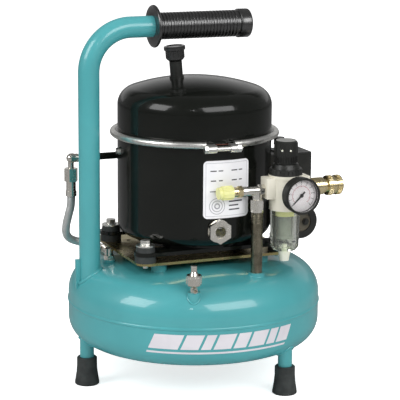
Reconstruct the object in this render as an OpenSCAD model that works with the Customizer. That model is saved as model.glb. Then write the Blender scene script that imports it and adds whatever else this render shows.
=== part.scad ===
// Quiet airbrush compressor: an oil-lubricated hermetic compressor on a pancake air tank,
// with a carrying handle, a filter regulator and a quick coupler.
// Origin: on the tank's axis at floor level. +X runs along the handle, -Y is the front, +Z is up.

/* [Tank] */
// Outside diameter of the tank
tank_d = 290; // [242:1:348]
// Height of the tank from its lowest to its highest point
tank_h = 112; // [94:1:135]
// Height of the tank's underside above the floor
tank_clearance = 31; // [26:1:40]
// Sheet thickness of the tank
tank_wall = 2.5; // [2:0.1:3.5]
// Knuckle radius of the upper half
upper_knuckle = 34; // [28:1:40]
// Knuckle radius of the lower half
lower_knuckle = 28; // [22:1:33]
// Height of the seam above the tank's underside
seam_h = 58; // [50:1:66]
// Length of the lap that the lower half puts inside the upper half
seam_lap = 9; // [6:1:14]
// How far the seam's weld bead stands out
seam_bead = 1; // [0.5:0.1:1.5]

/* [Legs and feet] */
// Diameter of a leg tube
leg_d = 16; // [14:0.5:20]
// Distance from the tank's side in to a leg's axis
leg_inset = 14; // [10:0.5:20]
// Height of a rubber foot
foot_h = 32; // [26:1:40]
// Diameter of a foot at its top
foot_top_d = 23; // [21.5:0.5:28]
// Diameter of a foot at the floor
foot_bottom_d = 28; // [24:0.5:34]
// Thickness of rubber under a leg
foot_sole = 10; // [6:0.5:16]

/* [Handle] */
// Diameter of the handle tube
handle_d = 24; // [20:0.5:29]
// Wall of the handle tube
handle_wall = 2; // [1.5:0.1:3]
// Height of the handle's horizontal run
handle_h = 407; // [400:1:480]
// Bend radius of the handle, to the tube's centreline
handle_bend_r = 49; // [36:1:60]
// Distance from the tank's side in to the upright's axis
handle_inset = 18; // [14:0.5:26]
// Distance from the upright's axis to the grip's flange
grip_start = 75; // [66:1:90]
// Length of the grip, flange and end collar included
grip_len = 117; // [98:1:140]
// Thickness of the grip's rubber
grip_wall = 3.2; // [2.6:0.1:4]
// Diameter of the grip's hand guard
grip_guard_d = 48; // [40:1:56]
// Pitch of the grip's ribs
rib_pitch = 4; // [3.5:0.1:5]

/* [Base plate and mounts] */
// Gap between the tank's top and the base plate
plate_gap = 6; // [5:0.5:10]
// Thickness of the base plate
plate_t = 3; // [2.5:0.5:5]
// Margin of the plate outside the mounting bolts
plate_margin = 11; // [9:0.5:16]
// How much further the plate reaches at the back
plate_back = 20; // [0:1:26]
// Height of the foot strips above the base plate
mount_gap = 8; // [6:0.5:12]
// Thickness of the compressor's foot strips
strip_t = 4; // [3:0.5:5]
// Width of a rubber mount
mount_d = 24; // [20:0.5:26]
// Distance from the shell's side out to the mounting bolts
mount_out = 11.2; // [10.5:0.1:16]
// Direction of a mounting bolt, in degrees from the handle's axis
mount_angle = 35; // [32:0.5:40]

/* [Compressor shell] */
// Outside diameter of the compressor's shell
shell_d = 176; // [147:1:211]
// Sheet thickness of the shell
shell_wall = 3; // [2.5:0.1:4]
// Height of the shell's pot
pot_h = 121; // [112:1:145]
// Height of the shell's lid above the joint
lid_h = 63; // [51:1:70]
// Knuckle radius of the lid
lid_knuckle = 21; // [16:1:28]
// Knuckle radius of the pot's bottom
pot_knuckle = 14; // [10:1:18]
// Diameter of the clamp ring's tube
ring_d = 8; // [7:0.5:10]

/* [Motor and pump] */
// Length of the stator's iron
stator_h = 36; // [30:1:40]
// Outside diameter of the stator
stator_d = 116; // [100:1:120]
// Outside diameter of the rotor
rotor_d = 60; // [52:1:66]
// Air gap between rotor and stator
air_gap = 0.4; // [0.3:0.1:0.8]
// Diameter of the crankshaft
shaft_d = 14; // [12:0.5:17]
// Throw of the crank, half of the piston's stroke
crank_throw = 7; // [5:0.5:8]
// Bore of the cylinder
cylinder_bore = 26; // [22:0.5:29]
// Radial clearance of running fits
run_fit = 0.05; // [0.02:0.01:0.1]

/* [Air fittings] */
// How far the line of outlet fittings stands in front of the shell
fittings_out = 10; // [9.5:0.5:16]
// Position of the riser pipe along X
riser_x = 35.5; // [30:0.5:42]
// Diameter of the riser pipe
riser_d = 13; // [11:0.5:15]
// Height of the outlet fittings' axis above the base plate
outlet_h = 80.4; // [72:0.1:92]
// Bore of the pipes and fittings
pipe_bore = 6; // [5:0.5:7]
// Outside diameter of the braided hose
hose_d = 9.5; // [8:0.5:11]
// Bore of the quick coupler
coupler_bore = 10.2; // [8:0.1:11]
// Travel of the quick coupler's sleeve
sleeve_travel = 4; // [3:0.5:5]

/* [Filter regulator and gauge] */
// Distance from the riser to the regulator's axis
regulator_dx = 34; // [32:1:42]
// Distance between the faces of the regulator's two ports
port_span = 52; // [48:1:60]
// Diameter of the regulator's body
regulator_d = 36; // [30:0.5:43.5]
// Diameter of the filter bowl
bowl_d = 33; // [29:0.5:36]
// Height of the filter bowl
bowl_h = 46; // [39:1:49]
// Diameter of the regulator's knob
knob_d = 25.5; // [22:0.5:30]
// Travel of the knob from locked to free
knob_lift = 3; // [2:0.5:4]
// Diameter of the pressure gauge
gauge_d = 40; // [34:0.5:44]

/* [Electrics] */
// Width of the switch box past the shell
box_out = 43; // [40:1:52]
// Height of the switch box
box_h = 55; // [46:1:60]
// Depth of the switch box, front to back
box_depth = 42; // [36:1:50]
// Diameter of the start capacitor
capacitor_d = 40; // [34:0.5:42]
// Length of the start capacitor
capacitor_len = 62; // [52:1:74]

/* [Hidden] */
$fn = 72;
eps = 0.01;

teal = "#57a9ac";
steel = "#b9bab8";
black = "#20221f";
nickel = "#cfccc4";
brass = "#d8b768";
ivory = "#d4d0c2";

// Heights
tank_top = tank_clearance + tank_h;
seam_z = tank_clearance + seam_h;
plate_z = tank_top + plate_gap + plate_t;
strip_z = plate_z + mount_gap;
pot_z = strip_z + strip_t;
joint_z = pot_z + pot_h;
outlet_z = plate_z + outlet_h;

// Straight sides of the tank's halves, and how far each crown rises above its knuckle
upper_straight = 12;
lower_straight = 17;
upper_rise = tank_top - seam_z - upper_straight - upper_knuckle;
lower_rise = seam_h - lower_straight - lower_knuckle;

// Radii
tank_r = tank_d / 2;
shell_r = shell_d / 2;
inner_r = shell_r - shell_wall;
leg_circle_r = tank_r - leg_inset;
leg_angles = [180, 300, 60];

// Shell joint and clamp ring
flange_out = 2.5;
flange_t = 2.5;
gasket_t = 0.8;
ring_r = shell_r + ring_d / 2 + 0.6;
ring_gap_angle = 20;
ring_gap_centre = -94.5;
clamp_bolt_r = ring_r + 8;
clamp_bolt_drop = 3;

// Handle: the upright stands inside the tank's rim, and clear of the clamp ring
handle_x = -max(tank_r - handle_inset, ring_r + ring_d / 2 + handle_d / 2 + 5);
grip_x = handle_x + grip_start;
tube_end_x = grip_x + grip_len - 4;

// Mounting bolts
mount_r = shell_r + mount_out;
mount_x = mount_r * cos(mount_angle);
mount_y = mount_r * sin(mount_angle);
mount_collar_h = 6;
washer_t = 1.5;
bolt_d = 6;
washer_z = pot_z + mount_collar_h;

// Outlet line
fittings_y = -(shell_r + fittings_out);
riser_foot_z = tank_top - 3.5;
nut_z = outlet_z - 24;
regulator_x = riser_x + regulator_dx;
regulator_left = regulator_x - port_span / 2;
regulator_right = regulator_x + port_span / 2;
body_drop = 23;
body_rise = 16.5;
bonnet_h = 12;
body_low = outlet_z - body_drop;
body_high = outlet_z + body_rise;
bonnet_top = body_high + bonnet_h;
bowl_low = body_low - bowl_h;
gauge_stem_y = fittings_y - regulator_d / 2;
gauge_back_y = gauge_stem_y - 9;

// Discharge line and hose
// The hose's own route, from the discharge fitting down behind the upright to the tank's inlet
hose_route = [
  [-136, 38, 218.5], [-136, 38, 214], [-136, 38, 209], [-136.5, 38.5, 200], [-138.5, 40, 190],
  [-140, 44, 178], [-138, 51, 166], [-131, 58, 157.5], [-120, 60.5, 152.5], [-109, 56, 150],
  [-102, 46, 148.5], [-99, 38, 148], [-99, 33, 148], [-99, 28, 148]
];
hose_start = hose_route[0];
hose_end = hose_route[len(hose_route) - 1];
hose_ease = 0.8;
// Both ends' fittings stand where the hose's route begins and ends
discharge_r = 4;
fitting_drop = 37.5;
fitting_reach = 14;
ferrule_r = hose_d / 2 + hose_ease + 0.8;
ferrule_len = 6;
elbow_x = hose_start.x;
discharge_y = hose_start.y;
discharge_z = hose_start.z + fitting_drop;
inlet = hose_end - [0, fitting_reach, 0];
inlet_drop = 8;

// Pump: the springs stand on the pot's dished floor and carry the stator
spring_floor_z = pot_z + shell_wall + 2.2;
spring_h = 13;
stator_z = spring_floor_z + spring_h;
stator_top = stator_z + stator_h;
bore_z = joint_z - 22;
block_z = stator_top + 13;
block_t = 10;
web_t = 5;
rod_t = 8;
piston_len = 22;
bore_start = crank_throw + 17;
bore_end = inner_r - 27;
wrist_in = 5.5;
piston_x = bore_end - 0.5 - piston_len;
wrist_x = piston_x + wrist_in;
rod_len = wrist_x - crank_throw;
valve_plate_t = 2;
crank_pin_r = 4.5;
wrist_r = 3;
piston_wall = 4;
// Half of the square that the cylinder's barrel, valve plate and head fill
barrel_out = 19;
bolt_out = 13;
head_t = 12;

// Drain valve
valve_pos = [-50, -(tank_r - 22), 0];
valve_knob_z = tank_top - 4;
valve_foot_z = tank_top - 12;

// ---------- shared shapes ----------

// Steps of a crown's full circle: enough that even a wide, flat crown is rounder than a weld gap
crown_steps = 720;

// Outline of a dished head: straight side, knuckle and crown, for a revolve about Z
module head_outline(r, knuckle, straight, rise) {
  side = r - knuckle;
  crown_h = knuckle + rise;
  crown_r = (side * side + crown_h * crown_h - knuckle * knuckle) / (2 * rise);
  touch_x = side * crown_r / (crown_r - knuckle);
  square([r, straight]);
  translate([0, straight]) square([side, knuckle * 0.6]);
  translate([side, straight]) intersection() {
    circle(knuckle);
    translate([0, -eps]) square([knuckle, knuckle + eps]);
  }
  intersection() {
    translate([0, straight + crown_h - crown_r]) circle(crown_r, $fn = crown_steps);
    square([touch_x, straight + crown_h + 1]);
  }
}

module head(r, knuckle, straight, rise) {
  rotate_extrude() head_outline(r, knuckle, straight, rise);
}

// The whole tank as one solid, less a margin all round
module tank_solid(less = 0) {
  translate([0, 0, seam_z]) head(tank_r - less, upper_knuckle - less, upper_straight, upper_rise);
  translate([0, 0, seam_z]) mirror([0, 0, 1])
    head(tank_r - less, lower_knuckle - less, lower_straight, lower_rise);
}

module tube(r, h, bore_r) {
  difference() {
    cylinder(h, r, r);
    translate([0, 0, -1]) cylinder(h + 2, bore_r, bore_r);
  }
}

// Hexagonal prism, given across the flats
module hex(across_flats, h) {
  cylinder(h, across_flats / sqrt(3), across_flats / sqrt(3), $fn = 6);
}

// Rounded rectangle about the origin, built from exact circles
module rounded_rectangle(size, r) {
  square([size.x - 2 * r, size.y], center = true);
  square([size.x, size.y - 2 * r], center = true);
  for (x = [-1, 1], y = [-1, 1])
    translate([x * (size.x / 2 - r), y * (size.y / 2 - r)]) circle(r);
}

// Rounded rectangle between two corners
module rounded_between(low, high, r) {
  translate((low + high) / 2) rounded_rectangle(high - low, r);
}

module at_mounts() {
  for (x = [-1, 1], y = [-1, 1]) translate([x * mount_x, y * mount_y, 0]) children();
}

// Turns +Z children so that they point along +X, -X, +Y or -Y
module along_x() { rotate([0, 90, 0]) children(); }
module against_x() { rotate([0, -90, 0]) children(); }
module along_y() { rotate([-90, 0, 0]) children(); }
module against_y() { rotate([90, 0, 0]) children(); }

// ---------- swept tubes ----------

function unit(v) = v / norm(v);
function catmull(a, b, c, d, t) =
  0.5 * (2 * b + (c - a) * t + (2 * a - 5 * b + 4 * c - d) * t * t
  + (3 * b - a - 3 * c + d) * t * t * t);
function point_at(p, i) = p[max(0, min(len(p) - 1, i))];
// A smooth path through the points, with a number of steps between each pair
function smooth_path(p, steps) = [
  for (i = [0 : len(p) - 2], k = [0 : steps - 1])
    catmull(point_at(p, i - 1), p[i], p[i + 1], point_at(p, i + 2), k / steps),
  p[len(p) - 1]
];
function path_dir(p, i) = unit(point_at(p, i + 1) - point_at(p, i - 1));
// Side vector of each ring, carried along the path so that the tube does not twist
function side_vectors(p, start, i = 0, done = []) =
  i == len(p) ? done :
  let (
    before = i == 0 ? start : done[i - 1],
    dir = path_dir(p, i),
    side = unit(before - dir * (before * dir))
  )
  side_vectors(p, start, i + 1, concat(done, [side]));

// Closed round tube swept along a path
module sweep(p, r, sides, start) {
  side = side_vectors(p, start);
  rings = len(p);
  points = [
    for (i = [0 : rings - 1], k = [0 : sides - 1])
      p[i] + r * (cos(360 * k / sides) * side[i]
      + sin(360 * k / sides) * cross(path_dir(p, i), side[i]))
  ];
  walls = [
    for (i = [0 : rings - 2], k = [0 : sides - 1])
      let (a = i * sides + k, b = i * sides + (k + 1) % sides) [a, a + sides, b + sides, b]
  ];
  first = [for (k = [0 : sides - 1]) k];
  last = [for (k = [sides - 1 : -1 : 0]) (rings - 1) * sides + k];
  polyhedron(points, concat(walls, [first, last]), convexity = 6);
}

// ---------- tank, legs and handle ----------

// How deep the seam bead is rooted in the wall, and the gap that a weld leaves round a boss
bead_in = 1.5;
weld_gap = 0.12;

module tank_upper_shell() color(teal) {
  difference() {
    union() {
      translate([0, 0, seam_z]) head(tank_r, upper_knuckle, upper_straight, upper_rise);
      rotate_extrude() translate([tank_r - bead_in, seam_z + bead_in + seam_bead])
        circle(bead_in + seam_bead);
    }
    translate([0, 0, seam_z - 1])
      head(tank_r - tank_wall, upper_knuckle - tank_wall, upper_straight + 1, upper_rise);
    for (p = port_axes) translate([p.x, p.y, seam_z]) cylinder(tank_h, pipe_bore / 2, pipe_bore / 2);
  }
}

module tank_lower_shell() color(teal) difference() {
  lap_r = tank_r - tank_wall - eps;
  union() {
    translate([0, 0, seam_z - eps]) mirror([0, 0, 1])
      head(tank_r, lower_knuckle, lower_straight - eps, lower_rise);
    translate([0, 0, seam_z - 1]) cylinder(seam_lap + 1, lap_r, lap_r);
  }
  translate([0, 0, seam_z]) mirror([0, 0, 1])
    head(tank_r - 2 * tank_wall, lower_knuckle - tank_wall, lower_straight, lower_rise);
  translate([0, 0, seam_z - 1]) cylinder(seam_lap + 3, tank_r - 2 * tank_wall, tank_r - 2 * tank_wall);
}

module tank_legs() color(teal) difference() {
  for (a = leg_angles) rotate([0, 0, a]) translate([leg_circle_r, 0, foot_sole])
    cylinder(seam_z - foot_sole - 8, leg_d / 2, leg_d / 2);
  tank_solid();
}

module rubber_feet() color("#3a3d3b")
  for (a = leg_angles) rotate([0, 0, a]) translate([leg_circle_r, 0, 0]) difference() {
    rotate_extrude() polygon([
      [0, 0], [foot_bottom_d / 2 - 0.8, 0], [foot_bottom_d / 2, 0.8],
      [foot_bottom_d / 2, 2.5], [foot_top_d / 2 + 0.6, foot_h * 0.45],
      [foot_top_d / 2, foot_h * 0.7], [foot_top_d / 2, foot_h - 1], [foot_top_d / 2 - 1, foot_h],
      [0, foot_h]
    ]);
    translate([0, 0, foot_sole]) cylinder(foot_h, leg_d / 2, leg_d / 2);
  }

// Axes of the tank's three ports: riser, inlet and drain valve
port_axes = [[riser_x, fittings_y], [inlet.x, inlet.y], [valve_pos.x, valve_pos.y]];
// Supports of the base plate, inside the mounts, and the radii of the welded bosses
support_x = mount_x - 19;
support_y = mount_y - 8;
support_r = 9;
support_screw_r = 2.5;
riser_boss_r = 9;
small_boss_r = 7;
// The gusset behind the handle: its size, and how far its foot stands below the tank's top
gusset = [8, 4, 34];
gusset_foot = 30;

// Ports, plate supports and the handle's gusset, all welded to the tank
module weld_bosses() color(teal) difference() {
  union() {
    translate([riser_x, fittings_y, seam_z]) cylinder(riser_foot_z - seam_z, riser_boss_r, riser_boss_r);
    translate([inlet.x, inlet.y, seam_z])
      cylinder(inlet.z - inlet_drop - seam_z, small_boss_r, small_boss_r);
    translate([valve_pos.x, valve_pos.y, seam_z])
      cylinder(valve_foot_z - seam_z, small_boss_r, small_boss_r);
    for (x = [-1, 1], y = [-1, 1]) translate([x * support_x, y * support_y, seam_z])
      cylinder(plate_z - plate_t - seam_z, support_r, support_r);
    translate([handle_x - handle_d / 2 - 5, -gusset.y / 2, tank_top - gusset_foot]) cube(gusset);
  }
  tank_solid(-weld_gap);
  translate([handle_x, 0, 0]) cylinder(handle_h, handle_d / 2 + weld_gap, handle_d / 2 + weld_gap);
  for (p = port_axes) translate([p.x, p.y, 0]) cylinder(tank_top + 50, pipe_bore / 2, pipe_bore / 2);
  for (x = [-1, 1], y = [-1, 1]) translate([x * support_x, y * support_y, plate_z - plate_t - 8])
    cylinder(20, support_screw_r, support_screw_r);
}

// Path of the handle tube as a solid of the given radius
module handle_path(r, start_z, end_x) {
  bend_z = handle_h - handle_bend_r;
  translate([handle_x, 0, start_z]) cylinder(bend_z - start_z, r, r);
  translate([handle_x + handle_bend_r, 0, bend_z]) rotate([90, 0, 0]) rotate([0, 0, 90])
    rotate_extrude(angle = 90) translate([handle_bend_r, 0]) circle(r);
  translate([handle_x + handle_bend_r, 0, handle_h]) along_x()
    cylinder(end_x - handle_x - handle_bend_r, r, r);
}

module handle_tube() color(teal) difference() {
  handle_path(handle_d / 2, seam_z, tube_end_x);
  handle_path(handle_d / 2 - handle_wall, seam_z - 1, tube_end_x + 1);
  tank_solid();
}

module handle_grip() color("#1c1c1b") {
  tube_r = handle_d / 2;
  out_r = tube_r + grip_wall;
  guard_t = 4;
  collar_len = 14;
  collar_r = out_r + 1.2;
  ribs = floor((grip_len - guard_t - collar_len - 4) / rib_pitch);
  translate([grip_x, 0, handle_h]) along_x() difference() {
    rotate_extrude() difference() {
      union() {
        square([out_r - 0.7, grip_len]);
        square([grip_guard_d / 2 - guard_t / 2, guard_t]);
        translate([grip_guard_d / 2 - guard_t / 2, guard_t / 2]) circle(guard_t / 2);
        translate([0, grip_len - collar_len]) square([collar_r, collar_len - 2]);
        translate([0, grip_len - 3]) square([collar_r - 2, 3]);
        translate([collar_r - 2, grip_len - 2]) circle(2);
        for (i = [0 : ribs]) translate([0, guard_t + 2 + i * rib_pitch]) square([out_r, rib_pitch * 0.55]);
      }
      translate([-60, -10]) square([60, grip_len + 20]);
    }
    translate([0, 0, -1]) cylinder(tube_end_x - grip_x + 1, tube_r, tube_r);
  }
}

// ---------- base plate, mounts and foot strips ----------

module base_plate() color("#b9ab62") difference() {
  translate([0, 0, plate_z - plate_t]) linear_extrude(plate_t)
    rounded_between(
      [-mount_x - plate_margin, -mount_y - plate_margin],
      [mount_x + plate_margin, mount_y + plate_margin + plate_back], 14);
  at_mounts() cylinder(plate_z + 1, bolt_d / 2, bolt_d / 2);
  for (x = [-1, 1], y = [-1, 1]) translate([x * support_x, y * support_y, 0])
    cylinder(plate_z + 1, support_screw_r + 0.25, support_screw_r + 0.25);
}

module vibration_mounts() color("#1f1f1e") at_mounts() difference() {
  union() {
    translate([0, 0, plate_z]) cylinder(mount_gap, mount_d / 2, mount_d / 2);
    translate([0, 0, strip_z]) cylinder(strip_t, 7, 7);
    translate([0, 0, pot_z]) cylinder(mount_collar_h, mount_d / 2 - 1, mount_d / 2 - 2);
  }
  cylinder(washer_z + 1, bolt_d / 2, bolt_d / 2);
}

module mount_bolts() color(steel) at_mounts() {
  translate([0, 0, tank_top + 2]) cylinder(washer_z + washer_t - tank_top - 2, bolt_d / 2, bolt_d / 2);
  translate([0, 0, washer_z + washer_t]) cylinder(1, 6.2, 6.2);
  translate([0, 0, washer_z + washer_t + 1]) hex(10, 4.6);
}

module mount_washers() color(steel) at_mounts() translate([0, 0, washer_z])
  tube(10.5, washer_t, bolt_d / 2);

module foot_strips() color(black) difference() {
  for (y = [-1, 1]) translate([0, y * mount_y, strip_z]) linear_extrude(strip_t) {
    square([2 * mount_x, mount_d + 2], center = true);
    for (x = [-1, 1]) translate([x * mount_x, 0]) circle(mount_d / 2 + 1);
  }
  at_mounts() cylinder(pot_z + 1, 7, 7);
}

// ---------- compressor shell ----------

lid_z = joint_z + gasket_t;
lid_straight = 31;
lid_rise = lid_h - lid_straight - lid_knuckle;
pot_rise = 4;
pot_pad_r = shell_r - pot_knuckle - 4;
intake_x = -22;
intake_tilt = -5;
lid_crown_z = lid_z + lid_h;

module shell_pot() color(black) difference() {
  union() {
    translate([0, 0, joint_z]) mirror([0, 0, 1])
      head(shell_r, pot_knuckle, pot_h - pot_knuckle - pot_rise, pot_rise);
    translate([0, 0, joint_z - flange_t]) cylinder(flange_t, shell_r + flange_out, shell_r + flange_out);
    translate([0, 0, pot_z]) cylinder(pot_rise + 2, pot_pad_r, pot_pad_r);
  }
  translate([0, 0, joint_z + 1]) mirror([0, 0, 1])
    head(inner_r, pot_knuckle - shell_wall, pot_h - pot_knuckle - pot_rise + 1, pot_rise);
  translate([-inner_r - 10, discharge_y, discharge_z]) along_x() cylinder(60, discharge_r, discharge_r);
  rotate([0, 0, glass_angle]) translate([inner_r - 10, 0, glass_z]) along_x()
    cylinder(20, glass_stem_r, glass_stem_r);
  at_earth_screw() translate([0, 0, -shell_wall - 5])
    cylinder(shell_wall + 10, earth_screw_r, earth_screw_r);
}

module shell_lid() color(black) difference() {
  union() {
    translate([0, 0, lid_z]) head(shell_r, lid_knuckle, lid_straight, lid_rise);
    translate([0, 0, lid_z]) cylinder(flange_t, shell_r + flange_out, shell_r + flange_out);
  }
  translate([0, 0, lid_z - 1]) head(inner_r, lid_knuckle - shell_wall, lid_straight + 1, lid_rise);
  at_intake() translate([0, 0, -20]) cylinder(40, 6, 6);
}

module shell_gasket() color("#6b2b22") translate([0, 0, joint_z])
  tube(shell_r + flange_out, gasket_t, inner_r);

// The clamp bolt runs through a barrel at each end of the ring, measured from the middle of the gap
left_barrel = [-17, -7];
right_barrel = [9, 17];
barrel_r = 4.3;
clamp_bolt_d = 5;
clamp_head_h = 4;

module clamp_barrel(span) at_clamp_bolt() translate([0, 0, span[0]]) {
  cylinder(span[1] - span[0], barrel_r, barrel_r);
  translate([ring_r - clamp_bolt_r, -barrel_r, 0])
    cube([clamp_bolt_r - ring_r, barrel_r, span[1] - span[0]]);
}

module clamp_ring() color(steel) difference() {
  union() {
    rotate([0, 0, ring_gap_centre + ring_gap_angle / 2]) translate([0, 0, joint_z + gasket_t / 2])
      rotate_extrude(angle = 360 - ring_gap_angle) translate([ring_r, 0]) circle(ring_d / 2);
    clamp_barrel(left_barrel);
    clamp_barrel(right_barrel);
  }
  translate([0, 0, joint_z - flange_t]) cylinder(2 * flange_t + gasket_t,
    shell_r + flange_out, shell_r + flange_out);
  cylinder(joint_z + 40, shell_r, shell_r);
  at_clamp_bolt() translate([0, 0, -30]) cylinder(60, clamp_bolt_d / 2 + 0.1, clamp_bolt_d / 2 + 0.1);
}

// The clamp bolt's axis, with +Z along the bolt and its origin at the middle of the gap
module at_clamp_bolt() {
  rotate([0, 0, ring_gap_centre]) translate([clamp_bolt_r, 0, joint_z + gasket_t / 2 - clamp_bolt_drop])
    along_y() children();
}

module clamp_bolt() color(nickel) at_clamp_bolt() {
  translate([0, 0, left_barrel[0]])
    cylinder(right_barrel[1] - left_barrel[0] + clamp_head_h + 1.5, clamp_bolt_d / 2, clamp_bolt_d / 2);
  translate([0, 0, left_barrel[0] - clamp_head_h]) hex(8, clamp_head_h);
}

module clamp_nut() color(nickel) at_clamp_bolt() translate([0, 0, right_barrel[1]])
  difference() {
    hex(8, clamp_head_h);
    translate([0, 0, -1]) cylinder(clamp_head_h + 2, clamp_bolt_d / 2, clamp_bolt_d / 2);
  }

// Air intake: a neck that stands in the lid, and a filter that is pushed onto the neck's spigot
neck_h = 19;
neck_r = 7.2;
neck_collar_r = 8.2;
intake_bore_r = 4.5;
spigot_r = 6.2;
spigot_h = 2;
filter_r = 10.2;
filter_flare_h = 2.5;
filter_h = 10.5;
filter_rim_r = 12.2;
filter_rim_h = 4.6;
filter_hole_r = 1.4;

module at_intake() {
  translate([intake_x, 0, lid_crown_z - 1]) rotate([0, intake_tilt, 0]) children();
}

module intake_neck() color("#2a2a28") difference() {
  at_intake() {
    translate([0, 0, -6]) cylinder(neck_h + 6, neck_r, neck_r);
    cylinder(neck_h + spigot_h, spigot_r, spigot_r);
    translate([0, 0, -1]) cylinder(3.4, neck_collar_r, neck_collar_r);
  }
  translate([0, 0, lid_z]) head(shell_r, lid_knuckle, lid_straight, lid_rise);
  at_intake() translate([0, 0, -20]) cylinder(60, intake_bore_r, intake_bore_r);
}

module intake_filter() color("#1e1e1d") at_intake() translate([0, 0, neck_h]) difference() {
  union() {
    cylinder(filter_flare_h, neck_r + 0.2, filter_r);
    translate([0, 0, filter_flare_h]) cylinder(filter_h, filter_r, filter_r);
    translate([0, 0, filter_flare_h + filter_h]) cylinder(filter_rim_h, filter_rim_r, filter_rim_r);
  }
  translate([0, 0, -1]) cylinder(spigot_h + 1, spigot_r, spigot_r);
  translate([0, 0, 1]) cylinder(filter_h, intake_bore_r, intake_bore_r);
  for (a = [0 : 60 : 300]) rotate([0, 0, a])
    translate([filter_r - 2.2, 0, filter_h / 2]) cylinder(40, filter_hole_r, filter_hole_r);
}

// ---------- things on the shell's side ----------

label_w = 55;
label_h = 65;
label_t = 0.4;
label_angle = -87.6;
label_mid = joint_z - 50.5;
glass_angle = -94.2;
glass_z = pot_z + 24;
glass_af = 24;
glass_stem_r = 8;
glass_r = 7;
glass_washer_r = 13;

module rating_label() color("#dcdce0") intersection() {
  translate([0, 0, label_mid - label_h / 2 - 1]) tube(shell_r + label_t, label_h + 2, shell_r);
  rotate([0, 0, label_angle]) translate([shell_r - 15, 0, label_mid]) rotate([90, 0, 90])
    linear_extrude(30) rounded_rectangle([label_w, label_h], 5);
}

module at_glass() {
  rotate([0, 0, glass_angle]) translate([shell_r, 0, glass_z]) along_x() children();
}

module sight_glass_nut() color(nickel) difference() {
  union() {
    at_glass() translate([0, 0, -2]) cylinder(4, glass_washer_r, glass_washer_r);
    at_glass() translate([0, 0, 1.9]) hex(glass_af, 6);
    at_glass() translate([0, 0, -6]) cylinder(6, glass_stem_r, glass_stem_r);
  }
  at_glass() translate([0, 0, -10]) cylinder(30, glass_r - 2, glass_r - 2);
  at_glass() translate([0, 0, 4]) cylinder(10, glass_r, glass_r);
  translate([0, 0, pot_z]) difference() {
    cylinder(pot_h, shell_r, shell_r);
    rotate([0, 0, glass_angle]) translate([0, 0, glass_z - pot_z]) along_x()
      cylinder(shell_r + 5, glass_stem_r, glass_stem_r);
  }
}

module sight_glass_window() color("#a8a878", 0.6) at_glass() translate([0, 0, 4])
  cylinder(2, glass_r, glass_r);

// Earth screw on the shell's back
earth_angle = 175;
earth_screw_r = 2;
module at_earth_screw() {
  rotate([0, 0, earth_angle]) translate([shell_r, 0, joint_z - 18]) along_x() children();
}

module earth_screw() color(steel) at_earth_screw() difference() {
  union() {
    cylinder(2, 4.5, 4.5);
    translate([0, 0, 2]) cylinder(2.4, 3.4, 3.4);
    translate([0, 0, -shell_wall - 1]) cylinder(shell_wall + 1.5, earth_screw_r, earth_screw_r);
  }
  translate([-0.5, -5, 3.4]) cube([1, 10, 3]);
}

// ---------- motor and pump ----------

// The stator's winding slots: their radius, and how far they lie from the rotor
slot_r = 3.5;
slot_in = 7;

module stator_core() color("#7c7f80") translate([0, 0, stator_z]) difference() {
  linear_extrude(stator_h) intersection() {
    circle(stator_d / 2);
    square(stator_d * 0.88, center = true);
  }
  translate([0, 0, -1]) cylinder(stator_h + 2, rotor_d / 2 + air_gap, rotor_d / 2 + air_gap);
  for (a = [0 : 30 : 330]) rotate([0, 0, a]) translate([rotor_d / 2 + slot_in, 0, -1])
    cylinder(stator_h + 2, slot_r, slot_r);
}

module stator_windings() color("#a4562a") {
  for (z = [stator_z - 9, stator_top]) translate([0, 0, z]) rotate_extrude()
    translate([rotor_d / 2 + 8.5, 4.5]) rounded_rectangle([11, 9], 3);
  for (a = [0 : 30 : 330]) rotate([0, 0, a]) translate([rotor_d / 2 + slot_in, 0, stator_z - 1])
    cylinder(stator_h + 2, slot_r - 0.2, slot_r - 0.2);
}

spring_r = 5;
spring_wire = 0.8;
spring_turns = 4;
module suspension_springs() color(steel)
  for (a = [45 : 90 : 315]) rotate([0, 0, a]) translate([stator_d / 2 - 7, 0, spring_floor_z]) {
    rise = spring_h - 2 * spring_wire;
    path = [
      for (i = [0 : spring_turns * 12])
        [spring_r * cos(30 * i), spring_r * sin(30 * i), spring_wire + rise * i / (spring_turns * 12)]
    ];
    sweep(path, spring_wire, 6, [1, 0, 0]);
  }

module rotor() color("#8f9294") translate([0, 0, stator_z]) {
  tube(rotor_d / 2, stator_h, shaft_d / 2);
}

module crankshaft() color("#a9abac") {
  web_z = block_z + block_t + 0.5;
  pin_z = web_z + web_t;
  translate([0, 0, stator_z - 4]) cylinder(web_z - stator_z + 4, shaft_d / 2, shaft_d / 2);
  translate([0, 0, web_z]) cylinder(web_t, crank_throw + 7, crank_throw + 7);
  translate([crank_throw, 0, pin_z]) cylinder(bore_z - rod_t / 2 - 1 - pin_z, crank_pin_r, crank_pin_r);
}

module crankcase() color("#6f7274") difference() {
  block_top = block_z + block_t;
  bore_len = bore_end - bore_start;
  union() {
    translate([0, 0, block_z]) cylinder(block_t, stator_d / 2 - 2, stator_d / 2 - 2);
    translate([0, 0, stator_top + 3]) cylinder(block_z - stator_top - 2, shaft_d / 2 + 6, shaft_d / 2 + 6);
    for (a = [45 : 90 : 315]) rotate([0, 0, a]) translate([stator_d / 2 - 8, 0, stator_top])
      cylinder(14, 5, 5);
    translate([bore_start, -barrel_out, block_top - 1])
      cube([bore_len, 2 * barrel_out, bore_z - block_top + 1]);
    translate([bore_start, 0, bore_z]) along_x() cylinder(bore_len, barrel_out, barrel_out);
  }
  translate([0, 0, stator_top]) cylinder(block_z + 20, shaft_d / 2 + run_fit, shaft_d / 2 + run_fit);
  translate([bore_start - 1, 0, bore_z]) along_x()
    cylinder(bore_len + 2, cylinder_bore / 2, cylinder_bore / 2);
}

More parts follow.
